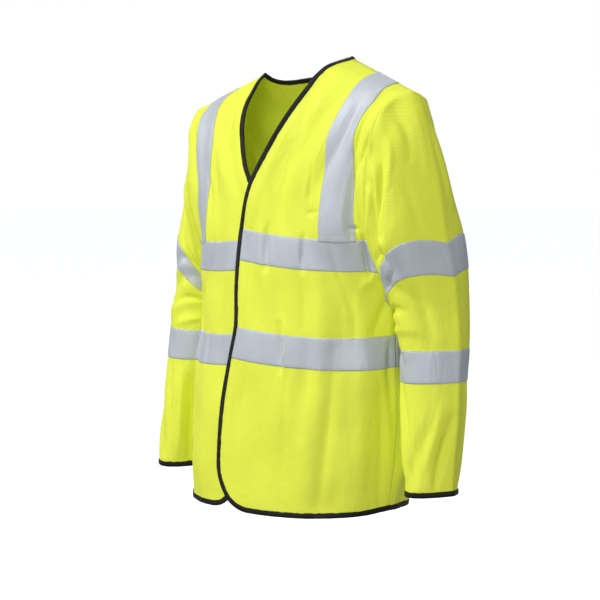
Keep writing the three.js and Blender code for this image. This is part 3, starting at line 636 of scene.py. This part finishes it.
def sleeve_cloth(side, front, back):
    """A sleeve from the armhole that a front and the back make, through the rings to the cuff."""
    levels = np.linspace(UNDERARM_LEVEL, 0, 121)
    forward = front.at(1.0, levels)[0]
    rearward = back.at(1.0 if side > 0 else 0.0, levels[1:-1])[0][::-1]
    forward[0, 1], forward[-1, 1] = ARMHOLE_CENTRE[0], 0
    hole = np.concatenate([forward, rearward])
    hole[:, 0] += side * ARMHOLE_GAP
    forth, up = hole[:, 1] - ARMHOLE_CENTRE[0], hole[:, 2] - ARMHOLE_CENTRE[1] - ARMHOLE_SHIFT * side
    turn = np.arctan2(-forth, -up) / (2 * np.pi)
    turn = np.where(turn < -1e-6, turn + 1, np.maximum(turn, 0))
    order = np.argsort(turn)
    turns = np.arange(SLEEVE_CELLS[0]) / SLEEVE_CELLS[0]
    start = np.stack([np.interp(turns, turn[order], hole[order, k], period=1) for k in range(3)], -1)
    along = np.linspace(0, SLEEVE_END, SLEEVE_CELLS[1] + 1)
    sections = np.stack([start] + [ring_points(ring, side, turns) for ring in RINGS], 1)
    weights = spline_weights([0] + [ring[0] for ring in RINGS], along)
    cloth = Cloth(np.einsum("ukc,vk->uvc", sections, weights), along, -side, wraps=True)
    across, down = turns[:, None], along[None, :]
    fade = np.minimum(1, np.minimum(down / 30, (SLEEVE_END - down) / 20))
    creases, phase = (SLEEVE_CREASES, 0.9) if side > 0 else (RIGHT_SLEEVE_CREASES, 2.7)
    height = fold_height(SLEEVE_FOLDS, across, down, SLEEVE_GIRTH, wraps=True)
    turned = across * 2 * np.pi
    # Shallow waves round and down the sleeve
    height += 0.8 * np.sin(turned * 2 + down / 43 + phase) * np.sin(down / 29 + phase)
    height += 0.5 * np.sin(turned * 3 - down / 31 + phase * 2)
    height *= fade
    rise = CREASE_RISE * np.minimum(down / 8, 1)
    height += rise * fold_height(creases, across, down, SLEEVE_GIRTH, wraps=True)
    # The pressed line down the outside
    height += 2.2 * np.exp(-np.abs(across - 0.5) * SLEEVE_GIRTH / 6) * np.minimum(down / 40, 1)
    for line in (*UPPER_SLEEVE_BAND, *LOWER_SLEEVE_BAND):
        height += sewn("sleeve_band", np.abs(down - line), across * SLEEVE_GIRTH, phase + line)
    height += sewn("sleeve_head", down, across * SLEEVE_GIRTH, phase)
    cloth.raise_by(height)
    return cloth


# Mesh makers


def add_mesh(name, points, faces, material, coordinates):
    """A smooth mesh on the frame's root body, with its cloth coordinates in mm."""
    mesh = bpy.data.meshes.new(name)
    mesh.from_pydata((points.reshape(-1, 3) * MM).tolist(), [], faces.tolist())
    mesh.update()
    mesh.polygons.foreach_set("use_smooth", np.ones(len(faces), bool))
    weave = mesh.attributes.new("weave", "FLOAT_VECTOR", "POINT")
    weave.data.foreach_set("vector", coordinates.reshape(-1, 3).astype(np.float32).ravel())
    mesh.materials.append(material)
    obj = bpy.data.objects.new(name, mesh)
    bpy.context.scene.collection.objects.link(obj)
    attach(obj, "root")
    return obj


def grid_faces(nu, nv, start, wraps, flip):
    """Faces of a grid of points that are numbered row by row from a start."""
    i = np.arange(nu if wraps else nu - 1)[:, None]
    j = np.arange(nv - 1)[None, :]
    here, there = i * nv + j, (i + 1) % nu * nv + j
    quads = np.stack([here, there, there + 1, here + 1], -1).reshape(-1, 4) + start
    return quads[:, ::-1] if flip else quads


def rim_faces(line, other, closed, flip):
    """Faces that join two lines of point numbers."""
    after = np.roll(line, -1), np.roll(other, -1)
    quads = np.stack([line, after[0], after[1], other], -1)
    quads = quads if closed else quads[:-1]
    return quads[:, ::-1] if flip else quads


def cloth_coordinates(across, along):
    """Flat coordinates in mm for the looks, from the places across and along."""
    return np.stack(np.broadcast_arrays(across, along, 0.0), -1)


def shell(name, outer, inner, outward, material, wraps=False):
    """A closed thin shell between two grids of points."""
    nu, nv = outer.shape[:2]
    flip = outward < 0
    count = nu * nv
    index = np.arange(count).reshape(nu, nv)
    faces = [grid_faces(nu, nv, 0, wraps, flip), grid_faces(nu, nv, count, wraps, not flip)]
    rims = [(index[:, 0], not flip), (index[:, -1], flip)]
    if not wraps:
        rims += [(index[0], flip), (index[-1], not flip)]
    faces += [rim_faces(rim, rim + count, wraps, turned) for rim, turned in rims]
    across = np.linspace(0, lengths(outer)[-1].mean(), nu)[:, None]
    coordinates = cloth_coordinates(across, lengths(outer[nu // 2]))
    points = np.stack([outer, inner])
    return add_mesh(name, points, np.concatenate(faces), material, np.stack([coordinates] * 2))


def panel(name, cloth, material):
    inner = cloth.points - cloth.normals * CLOTH
    return shell(name, cloth.points, inner, cloth.outward, material, cloth.wraps)


def tape(name, points, normals, outward, material, wraps=False, lift=TAPE_LIFT, thickness=TAPE):
    """A strip that lies on the cloth, its long edges pressed down a little."""
    near = points + normals * (lift - 0.1)
    edge = np.minimum(np.arange(points.shape[1]), np.arange(points.shape[1])[::-1])
    rise = np.where(edge == 0, 0.45, 1.0)[None, :, None]
    far = points + normals * (lift + thickness * rise)
    return shell(name, far, near, outward, material, wraps)


# A binding folded over an edge: distance out past the edge and height off the cloth
HALF_SECTION = np.array([
    [-BINDING_WIDTH, 0.2], [-BINDING_WIDTH + 0.2, 0.85], [-BINDING_WIDTH + 1.2, 1.15], [-4.2, 1.5],
    [-2.2, 1.75], [-0.3, 1.75], [0.9, 1.35], [1.6, 0.55],
])
FOLDED_SECTION = np.concatenate([HALF_SECTION, HALF_SECTION[::-1] * [1, -1] - [0, CLOTH]])

# The turned-in edges of a seam, seen from inside: out from the seam line and off the cloth
SEAM_TURNS = np.arange(8) * math.pi / 4
SEAM_SECTION = np.stack([1.5 * np.cos(SEAM_TURNS), -1.3 + 1.2 * np.sin(SEAM_TURNS)], -1)


def binding(name, edge, normals, sign, material, closed=False, section=FOLDED_SECTION):
    """A tube along an edge line, folded over it or of another section. Open ends lap a little."""
    if closed:
        tangent = unit(np.roll(edge, -1, axis=0) - np.roll(edge, 1, axis=0))
    else:
        tangent = unit(np.gradient(edge, axis=0))
    out = unit(np.cross(tangent, normals)) * sign
    lift = unit(normals - tangent * (tangent * normals).sum(-1, keepdims=True))
    run = lengths(edge)
    swell = 1 + 0.07 * ripple(run, 1.3)[:, None]
    points = (
        edge[:, None]
        + out[:, None] * (section[:, 0] * swell)[..., None]
        + lift[:, None] * (section[:, 1] * swell)[..., None]
    )
    if not closed:
        points[0] -= tangent[0] * END_LAP
        points[-1] += tangent[-1] * END_LAP
    nu, nv = points.shape[:2]
    around = np.arange(nu * nv).reshape(nu, nv)
    ahead = np.roll(around, -1, axis=0)
    beside = np.roll(around, -1, axis=1), np.roll(ahead, -1, axis=1)
    last = nu if closed else nu - 1
    faces = np.stack([around, ahead, beside[1], beside[0]], -1)[:last].reshape(-1, 4)
    # The faces are turned the other way where they look into the tube
    to_next, to_side = np.roll(points, -1, axis=0) - points, np.roll(points, -1, axis=1) - points
    facing_out = np.cross(to_next, to_side) * (points - points.mean(1, keepdims=True))
    if facing_out.sum() < 0:
        faces = faces[:, ::-1]
    wide = np.concatenate([[0], np.cumsum(np.hypot(*np.diff(section, axis=0).T))])
    return add_mesh(name, points, faces, material, cloth_coordinates(wide, run[:, None]))


# One stitch: shares of its length, width and height
STITCH_RINGS = [[-0.5, 0.0], [-0.3, 0.9], [0.0, 1.0], [0.3, 0.9], [0.5, 0.0]]


def stitches(name, lines, material):
    """Short raised threads along lines of points with normals."""
    corner = np.arange(STITCH_SIDES)[:, None] * 2 * math.pi / STITCH_SIDES
    share, thick = np.array(STITCH_RINGS).T[..., None, None]
    threads = []
    for line, normals in lines:
        run = lengths(line)
        steps = np.arange(STITCH_PITCH, run[-1] - 1, STITCH_PITCH)
        place, ahead, normal = (
            np.stack([np.interp(at, run, values[:, k]) for k in range(3)], -1)
            for at, values in ((steps, line), (steps + 0.5, line), (steps, normals))
        )
        normal, along = unit(normal), unit(ahead - place)
        across = np.cross(normal, along)
        place = place + across * rng.uniform(-STITCH_WANDER, STITCH_WANDER, len(steps))[:, None]
        place, along, across, up = (vectors[:, None, None] for vectors in (place, along, across, normal))
        off = across * np.cos(corner) + up * np.sin(corner) * STITCH_FLATNESS
        threads.append(place + along * share * STITCH_LENGTH + off * thick * STITCH_WIDTH / 2)
    points = np.concatenate(threads)
    number = np.arange(points[..., 0].size).reshape(points.shape[:3])
    beside = np.roll(number, -1, axis=2)
    faces = np.stack([number[:, :-1], beside[:, :-1], beside[:, 1:], number[:, 1:]], -1).reshape(-1, 4)
    obj = add_mesh(name, points, faces, material, points)


# Looks, all made of procedural nodes on the cloth coordinates


class Look:
    """A material and short ways of adding its nodes."""

    def __init__(self, name, color, roughness, sheen=0.0, metallic=0.0, glow=0.0):
        self.material = bpy.data.materials.new(name)
        self.material.use_nodes = True
        self.tree = self.material.node_tree
        self.shader = self.tree.nodes["Principled BSDF"]
        self.color = (*color, 1)
        self.set("Base Color", self.color)
        self.set("Roughness", roughness)
        self.set("Metallic", metallic)
        self.set("Sheen Weight", sheen)
        self.set("Sheen Roughness", 0.5)
        self.set("Sheen Tint", self.color)
        # A glow makes a surface give off its own colour. On the cloth and the fastening strip it is painted
        # light; on the studio floor and backdrop it is an even glow.
        self.set("Emission Color", self.color)
        self.set("Emission Strength", glow)
        place = self.node("ShaderNodeAttribute")
        place.attribute_name = "weave"
        self.place = place.outputs["Vector"]

    def feed(self, socket, value):
        """Links a socket to another one, or gives it a value."""
        if isinstance(value, bpy.types.NodeSocket):
            self.tree.links.new(value, socket)
        else:
            socket.default_value = value

    def set(self, name, value):
        self.feed(self.shader.inputs[name], value)

    def node(self, kind, **inputs):
        """A new node with values or links on its inputs. An input's name has _ for each space."""
        node = self.tree.nodes.new(kind)
        for name, value in inputs.items():
            self.feed(node.inputs[name.replace("_", " ")], value)
        return node

    def waves(self, direction, period, distortion=0.0, detail=0.0, turn=0.0):
        place = self.place
        if turn:
            turned = self.node("ShaderNodeMapping", Vector=place, Rotation=(0, 0, turn))
            place = turned.outputs["Vector"]
        scale = math.pi / (10 * period)
        node = self.node("ShaderNodeTexWave", Vector=place, Scale=scale, Distortion=distortion, Detail=detail)
        node.bands_direction = direction
        return node.outputs["Fac"]

    def noise(self, size, detail=3.0, stretch=(1, 1, 1)):
        place = self.node("ShaderNodeMapping", Vector=self.place, Scale=stretch).outputs["Vector"]
        node = self.node("ShaderNodeTexNoise", Vector=place, Scale=1 / size, Detail=detail)
        return node.outputs["Fac"]

    def math(self, operation, first, second):
        node = self.node("ShaderNodeMath")
        node.operation = operation
        self.feed(node.inputs[0], first)
        self.feed(node.inputs[1], second)
        return node.outputs[0]

    def blend(self, first, second, share):
        """A mix of two patterns, the first one with the given share."""
        parts = self.math("MULTIPLY", first, share), self.math("MULTIPLY", second, 1 - share)
        return self.math("ADD", *parts)

    def shade(self, factor, dark, light):
        """Colours the shader between two shades of its own colour by a factor."""
        ramp = self.node("ShaderNodeMix")
        ramp.data_type = "RGBA"
        color = np.array(self.color[:3])
        self.feed(ramp.inputs[0], factor)
        self.feed(ramp.inputs[6], (*(color * dark), 1))
        self.feed(ramp.inputs[7], (*np.minimum(color * light, 1), 1))
        self.set("Base Color", ramp.outputs[2])

    def rough(self, factor, low, high):
        node = self.node("ShaderNodeMapRange", Value=factor, To_Min=low, To_Max=high)
        self.set("Roughness", node.outputs["Result"])

    def bump(self, height, depth, strength):
        """Relief of a depth in mm, on top of the reliefs before it."""
        node = self.node("ShaderNodeBump", Height=height, Strength=strength, Distance=depth * MM)
        earlier = self.shader.inputs["Normal"].links
        if earlier:
            self.feed(node.inputs["Normal"], earlier[0].from_socket)
        self.set("Normal", node.outputs["Normal"])


YELLOW = (0.76, 0.83, 0.055)
SILVER = (0.50, 0.535, 0.575)
BLACK = (0.004, 0.004, 0.003)
PILE_YELLOW = (0.62, 0.72, 0.08)
THREAD_YELLOW = (0.66, 0.74, 0.06)
THREAD_GREY = (0.62, 0.66, 0.70)
PALE = (0.88, 0.885, 0.89)
STUDIO_GLOW = 0.78


def cloth_look():
    # The cloth's slight emission is a painted glow, painted light that stands in for the fluorescent dye's
    # brightness.
    look = Look("cloth_yellow", YELLOW, 0.75, sheen=0.15, glow=0.05)
    knit = look.math("MULTIPLY", look.waves("X", 1.25), look.waves("Y", 0.9))
    twill = look.waves("X", 3.9, distortion=1.6, detail=1.0, turn=math.radians(34))
    mottle = look.noise(42, 4.0)
    look.shade(look.blend(look.blend(twill, knit, 0.8), mottle, 0.6), 0.93, 1.05)
    look.rough(mottle, 0.6, 0.8)
    look.bump(look.noise(24, 3.0, (1.6, 0.7, 1)), 3.0, 0.6)
    look.bump(look.noise(9, 4.0, (1, 0.6, 1)), 0.8, 0.5)
    look.bump(knit, 0.12, 0.6)
    look.bump(twill, 0.10, 0.5)
    return look.material


def tape_look():
    look = Look("tape_reflective", SILVER, 0.52, metallic=0.1)
    beads = look.noise(0.9, 2.0)
    cloud = look.noise(28, 3.0, (1, 0.5, 1))
    look.shade(look.blend(beads, cloud, 0.35), 0.86, 1.14)
    look.rough(cloud, 0.42, 0.6)
    look.bump(look.noise(14, 2.0, (1, 0.22, 1)), 2.4, 0.7)
    look.bump(look.noise(6, 3.0), 0.4, 0.5)
    look.bump(beads, 0.06, 0.5)
    return look.material


def binding_look():
    look = Look("binding_black", BLACK, 0.45)
    look.set("Specular IOR Level", 0.25)
    ribs = look.waves("Y", 1.5, distortion=0.6)
    worn = look.noise(9, 3.0)
    look.shade(ribs, 0.7, 1.8)
    look.rough(worn, 0.38, 0.55)
    look.bump(look.waves("X", 1.1), 0.08, 0.5)
    look.bump(ribs, 0.22, 0.8)
    return look.material


def fastener_look():
    # The strip's slight emission is a painted glow, painted light like the cloth's.
    look = Look("fastener_yellow", PILE_YELLOW, 0.92, sheen=0.6, glow=0.03)
    pile = look.noise(0.8, 5.0)
    look.shade(pile, 0.7, 1.15)
    look.bump(pile, 0.7, 1.0)
    look.bump(look.waves("Y", 1.6), 0.3, 0.6)
    return look.material


def thread_look(name, color):
    look = Look(name, color, 0.5, sheen=0.2)
    look.bump(look.noise(0.5, 2.0), 0.1, 0.6)
    return look.material


# Building the jacket

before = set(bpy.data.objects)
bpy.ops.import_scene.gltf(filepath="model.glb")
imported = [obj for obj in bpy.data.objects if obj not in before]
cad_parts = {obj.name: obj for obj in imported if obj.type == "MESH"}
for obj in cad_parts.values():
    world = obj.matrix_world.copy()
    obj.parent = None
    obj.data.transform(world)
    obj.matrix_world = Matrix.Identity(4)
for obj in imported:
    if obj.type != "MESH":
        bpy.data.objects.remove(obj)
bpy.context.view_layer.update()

cloth_yellow = cloth_look()
tape_reflective = tape_look()
binding_black = binding_look()
fastener_yellow = fastener_look()
thread_yellow = thread_look("thread_yellow", THREAD_YELLOW)
thread_grey = thread_look("thread_grey", THREAD_GREY)

SIDES = {"left": 1, "right": -1}
fronts = {name: front_cloth(side) for name, side in SIDES.items()}
back = back_cloth()
sleeves = {name: sleeve_cloth(side, fronts[name], back) for name, side in SIDES.items()}

# The pieces that go with each panel
sewn_on = {f"{kind}_{name}": [] for kind in ("front", "sleeve") for name in SIDES}
sewn_on["back"] = []


def dress(obj, node, panel_node=None):
    """Makes a piece stand for a CAD node, which it hides, and go with its panel."""
    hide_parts(node)
    if panel_node:
        sewn_on[panel_node].append(obj)


panels = {}
for name in SIDES:
    panels[f"front_{name}"] = panel(f"cloth_front_{name}", fronts[name], cloth_yellow)
    panels[f"sleeve_{name}"] = panel(f"cloth_sleeve_{name}", sleeves[name], cloth_yellow)
panels["back"] = panel("cloth_back", back, cloth_yellow)
for node, obj in panels.items():
    dress(obj, node)

tape_seams, cloth_seams, binding_seams = [], [], []


def strip_rows(low, high):
    return np.linspace(low, high, int((high - low) / ROW_SPACING) + 1)


def lay_tape(node, panel_node, cloth, first, last, rows, wraps=False):
    """A strip between two places across, given for every row, with stitching along its edges."""
    if wraps:
        across = np.arange(len(cloth.points))[:, None] / len(cloth.points)
    else:
        cells = int(np.mean(last - first) * (len(cloth.points) - 1))
        across = first[None, :] + np.linspace(0, 1, cells + 1)[:, None] * (last - first)[None, :]
    points, normals = cloth.at(across, rows[None, :])
    obj = tape(f"tape_{node}", points, normals, cloth.outward, tape_reflective, wraps)
    dress(obj, node, panel_node)
    for row in (rows[0] + TAPE_INSET, rows[-1] - TAPE_INSET):
        line, normal = cloth.at(across[:, 0], row, ON_TAPE)
        if wraps:
            line, normal = np.concatenate([line, line[:1]]), np.concatenate([normal, normal[:1]])
        tape_seams.append((line, normal))


# Reflective bands round the chest and waist: levels, and how far they end from the side seams
BANDS = {"chest": (CHEST_BAND, 3.0), "waist": (WAIST_BAND, 0.4)}
for place, (band, side_inset) in BANDS.items():
    rows = strip_rows(*band)
    for name in SIDES:
        cloth = fronts[name]
        edge = BINDING_WIDTH if name == "left" else FASTENER_REACH
        first = cloth.across_at_distance(rows, edge + TAPE_GAP)
        last = 1 - side_inset / cloth.widths(rows)
        lay_tape(f"{place}_band_{name}", f"front_{name}", cloth, first, last, rows)
    first = side_inset / back.widths(rows)
    lay_tape(f"{place}_band_back", "back", back, first, 1 - first, rows)

# Reflective bands round both sleeves
for name in SIDES:
    for place, band in (("upper", UPPER_SLEEVE_BAND), ("lower", LOWER_SLEEVE_BAND)):
        rows = strip_rows(*band)
        node = f"sleeve_band_{place}_{name}"
        lay_tape(node, f"sleeve_{name}", sleeves[name], None, None, rows, wraps=True)

# Brace tapes up the front, over the shoulder and down the back
for name, side in SIDES.items():
    rows = strip_rows(CHEST_BAND[1] - BRACE_LAP, 0)
    inner = np.interp(rows, BRACE[:, 0], BRACE[:, 1])
    outer = np.interp(rows, BRACE[:, 0], BRACE[:, 2])
    share = np.linspace(0, 1, BRACE_CELLS + 1)[:, None]
    parts = []
    for cloth in (fronts[name], back):
        first, last = (cloth.across_at_width(rows, width, side) for width in (inner, outer))
        parts.append(cloth.at(first[None] + share * (last - first)[None], rows[None, :])[0])
    points = np.concatenate([parts[0], parts[1][:, -2::-1]], axis=1)
    brace = Cloth(points, np.arange(points.shape[1]), side)
    # The ends of a brace lie on the chest bands
    lift = np.full(points.shape[1], TAPE_LIFT)
    lift[:3] = lift[-3:] = ON_TAPE + 0.1
    raised = brace.points + brace.normals * (lift - TAPE_LIFT)[None, :, None]
    obj = tape(f"tape_brace_{name}", raised, brace.normals, side, tape_reflective)
    dress(obj, f"brace_{name}", f"front_{name}")
    for across in (BRACE_INSET, 1 - BRACE_INSET):
        tape_seams.append(brace.at(across, np.arange(3.0, points.shape[1] - 3), ON_TAPE))

# Binding down each neckline and front edge, round the corner and along the hem
for name, side in SIDES.items():
    cloth = fronts[name]
    edge = np.concatenate([cloth.points[0, ::-1], cloth.points[1:, 0]])
    normals = np.concatenate([cloth.normals[0, ::-1], cloth.normals[1:, 0]])
    obj = binding(f"binding_edge_{name}", edge, normals, side, binding_black)
    dress(obj, f"edge_binding_{name}", f"front_{name}")
    upper = cloth.rows[60:]
    down = cloth.at(cloth.across_at_distance(upper, BINDING_INSET), upper, BINDING_TOP)
    binding_seams.append((down[0][::-1], down[1][::-1]))
    binding_seams.append(cloth.at(np.linspace(0.3, 1, 60), HEM_LEVEL + BINDING_INSET, BINDING_TOP))
    cuff = sleeves[name]
    edge, normals = cuff.points[:, -1], cuff.normals[:, -1]
    obj = binding(f"binding_cuff_{name}", edge, normals, side, binding_black, closed=True)
    dress(obj, f"cuff_binding_{name}", f"sleeve_{name}")
    binding_seams.append(cuff.at(np.linspace(0, 1, 91), SLEEVE_END - BINDING_INSET, BINDING_TOP))

obj = binding("binding_hem_back", back.points[:, 0], back.normals[:, 0], -1, binding_black)
dress(obj, "hem_binding_back", "back")
binding_seams.append(back.at(np.linspace(0, 1, 160), HEM_LEVEL + BINDING_INSET, BINDING_TOP))

# Binding round the back of the neck, from one neck point to the other
neck = np.abs(back.points[:, -1, 0]) < NECK_HALF_WIDTH - 1
right_end, left_end = (fronts[name].points[:1, -1] for name in ("right", "left"))
edge = np.concatenate([right_end, back.points[neck, -1], left_end])
normals = np.pad(back.normals[neck, -3], ((1, 1), (0, 0)), mode="edge")
obj = binding("binding_neck_back", edge, normals, 1, binding_black)
dress(obj, "neck_binding_back", "back")

# Hook strip inside the left front and loop strip outside the right front
rows = strip_rows(*FASTENER_LEVELS)
for name, node, below in (("left", "hook_strip", True), ("right", "loop_strip", False)):
    cloth = fronts[name]
    first = cloth.across_at_distance(rows, BINDING_WIDTH + FASTENER_INSET)
    last = cloth.across_at_distance(rows, FASTENER_REACH)
    across = first[None] + np.linspace(0, 1, 9)[:, None] * (last - first)[None]
    points, normals = cloth.at(across, rows[None, :])
    lift = -(CLOTH + FASTENER_LIFT + FASTENER) if below else FASTENER_LIFT
    obj = tape(node + "_pile", points, normals, cloth.outward, fastener_yellow, False, lift, FASTENER)
    dress(obj, node, f"front_{name}")
    top = THREAD_LIFT if below else FASTENER_LIFT + FASTENER
    for inset in (0.1, 0.9):
        cloth_seams.append(cloth.at(first + inset * (last - first), rows, top))

# Seams of the yellow cloth
for name, side in SIDES.items():
    cloth = fronts[name]
    below = np.linspace(HEM_LEVEL + 12, UNDERARM_LEVEL - 4, 110)
    above = np.linspace(UNDERARM_LEVEL + 6, -8, 120)
    inset, shoulder = SEAM_INSET / PANEL_WIDTH, np.linspace(0.22, 0.49, 60)
    cloth_seams.append(cloth.at(1 - inset, below, THREAD_LIFT))
    cloth_seams.append(cloth.at(1 - inset, above, THREAD_LIFT))
    cloth_seams.append(back.at(0.5 + side * (0.5 - inset / 2), above, THREAD_LIFT))
    cloth_seams.append(back.at(0.5 + side * shoulder, -SEAM_INSET, THREAD_LIFT))

# Turned-in seam edges round the armholes, down the sides and along the shoulders
for name, side in SIDES.items():
    sleeve = sleeves[name]
    lines = {
        "armhole": (sleeve.points[:, 0], sleeve.normals[:, 2], True),
        "side": (*fronts[name].at(1.0, np.linspace(HEM_LEVEL + 4, UNDERARM_LEVEL, 80)), False),
        "shoulder": (*fronts[name].at(np.linspace(0.05, 1, 60), 0.0), False),
    }
    for place, (line, normals, closed) in lines.items():
        obj = binding(f"seam_{place}_{name}", line, normals, 1, cloth_yellow, closed, SEAM_SECTION)

stitches("stitches_tape", tape_seams, thread_grey)
stitches("stitches_cloth", cloth_seams, thread_yellow)
stitches("stitches_binding", binding_seams, binding_black)

# Floor, light and camera

scene = bpy.context.scene
FLOOR_LEVEL = -1.45
BACKDROP_RADIUS = 28


def studio_surface(name):
    """Makes the object added last pale and evenly glowing, and unseen by bounced light."""
    obj = bpy.context.object
    obj.name = name
    obj.data.materials.append(Look(name, PALE, 0.9, glow=STUDIO_GLOW).material)
    obj.visible_diffuse = obj.visible_glossy = False
    return obj


bpy.ops.mesh.primitive_plane_add(size=80, location=(0, 0, FLOOR_LEVEL))
floor = studio_surface("studio_floor")
bpy.ops.mesh.primitive_uv_sphere_add(radius=BACKDROP_RADIUS, segments=64, ring_count=32)
backdrop = studio_surface("studio_backdrop")
backdrop.visible_shadow = backdrop.visible_transmission = False

world = bpy.data.worlds.new("studio")
world.use_nodes = True
sky = world.node_tree.nodes["Background"].inputs
sky["Color"].default_value = (0.95, 0.97, 1.0, 1)
sky["Strength"].default_value = 0.36
scene.world = world

# Lights: name, place, what they aim at, size in m and power in W
LIGHTS = [
    ["key", (-1.9, -3.1, 2.1), (0, 0, -0.35), 1.0, 98],
    ["fill", (2.6, -3.7, 0.9), (0, 0, -0.35), 1.6, 78],
    ["top", (0.2, -0.6, 3.2), (0, 0, -0.2), 1.2, 26],
    ["rear", (-2.6, 3.2, 1.4), (0, 0, -0.35), 2.0, 60],
]


def facing(view):
    return view.to_track_quat("-Z", "Y").to_euler()


for name, place, aim, size, power in LIGHTS:
    light = bpy.data.lights.new(name, "AREA")
    light.size, light.energy = size, power
    lamp = bpy.data.objects.new(name, light)
    lamp.location = place
    lamp.rotation_euler = facing(Vector(aim) - Vector(place))
    scene.collection.objects.link(lamp)

# The photo's camera, round to the wearer's left, in metres from the shoulders
CAMERA_TURN = math.radians(48)
CAMERA_PITCH = math.radians(4.67)
CAMERA_DISTANCE = 3.9
CAMERA_HEIGHT = -0.054
CAMERA_SIDESTEP = 0.0064
CAMERA_LENS = 147
camera_data = bpy.data.cameras.new("camera")
camera_data.sensor_width = 36
camera_data.lens = CAMERA_LENS
camera = bpy.data.objects.new("camera", camera_data)
camera.location = (
    CAMERA_DISTANCE * math.sin(CAMERA_TURN) - CAMERA_SIDESTEP * math.cos(CAMERA_TURN),
    -CAMERA_DISTANCE * math.cos(CAMERA_TURN) - CAMERA_SIDESTEP * math.sin(CAMERA_TURN),
    CAMERA_HEIGHT,
)
view = Vector((
    -math.sin(CAMERA_TURN) * math.cos(CAMERA_PITCH),
    math.cos(CAMERA_TURN) * math.cos(CAMERA_PITCH),
    -math.sin(CAMERA_PITCH),
))
camera.rotation_euler = facing(view)
scene.collection.objects.link(camera)
scene.camera = camera

# Plain colours, so the bright yellow isn't greyed
scene.view_settings.view_transform = "Standard"
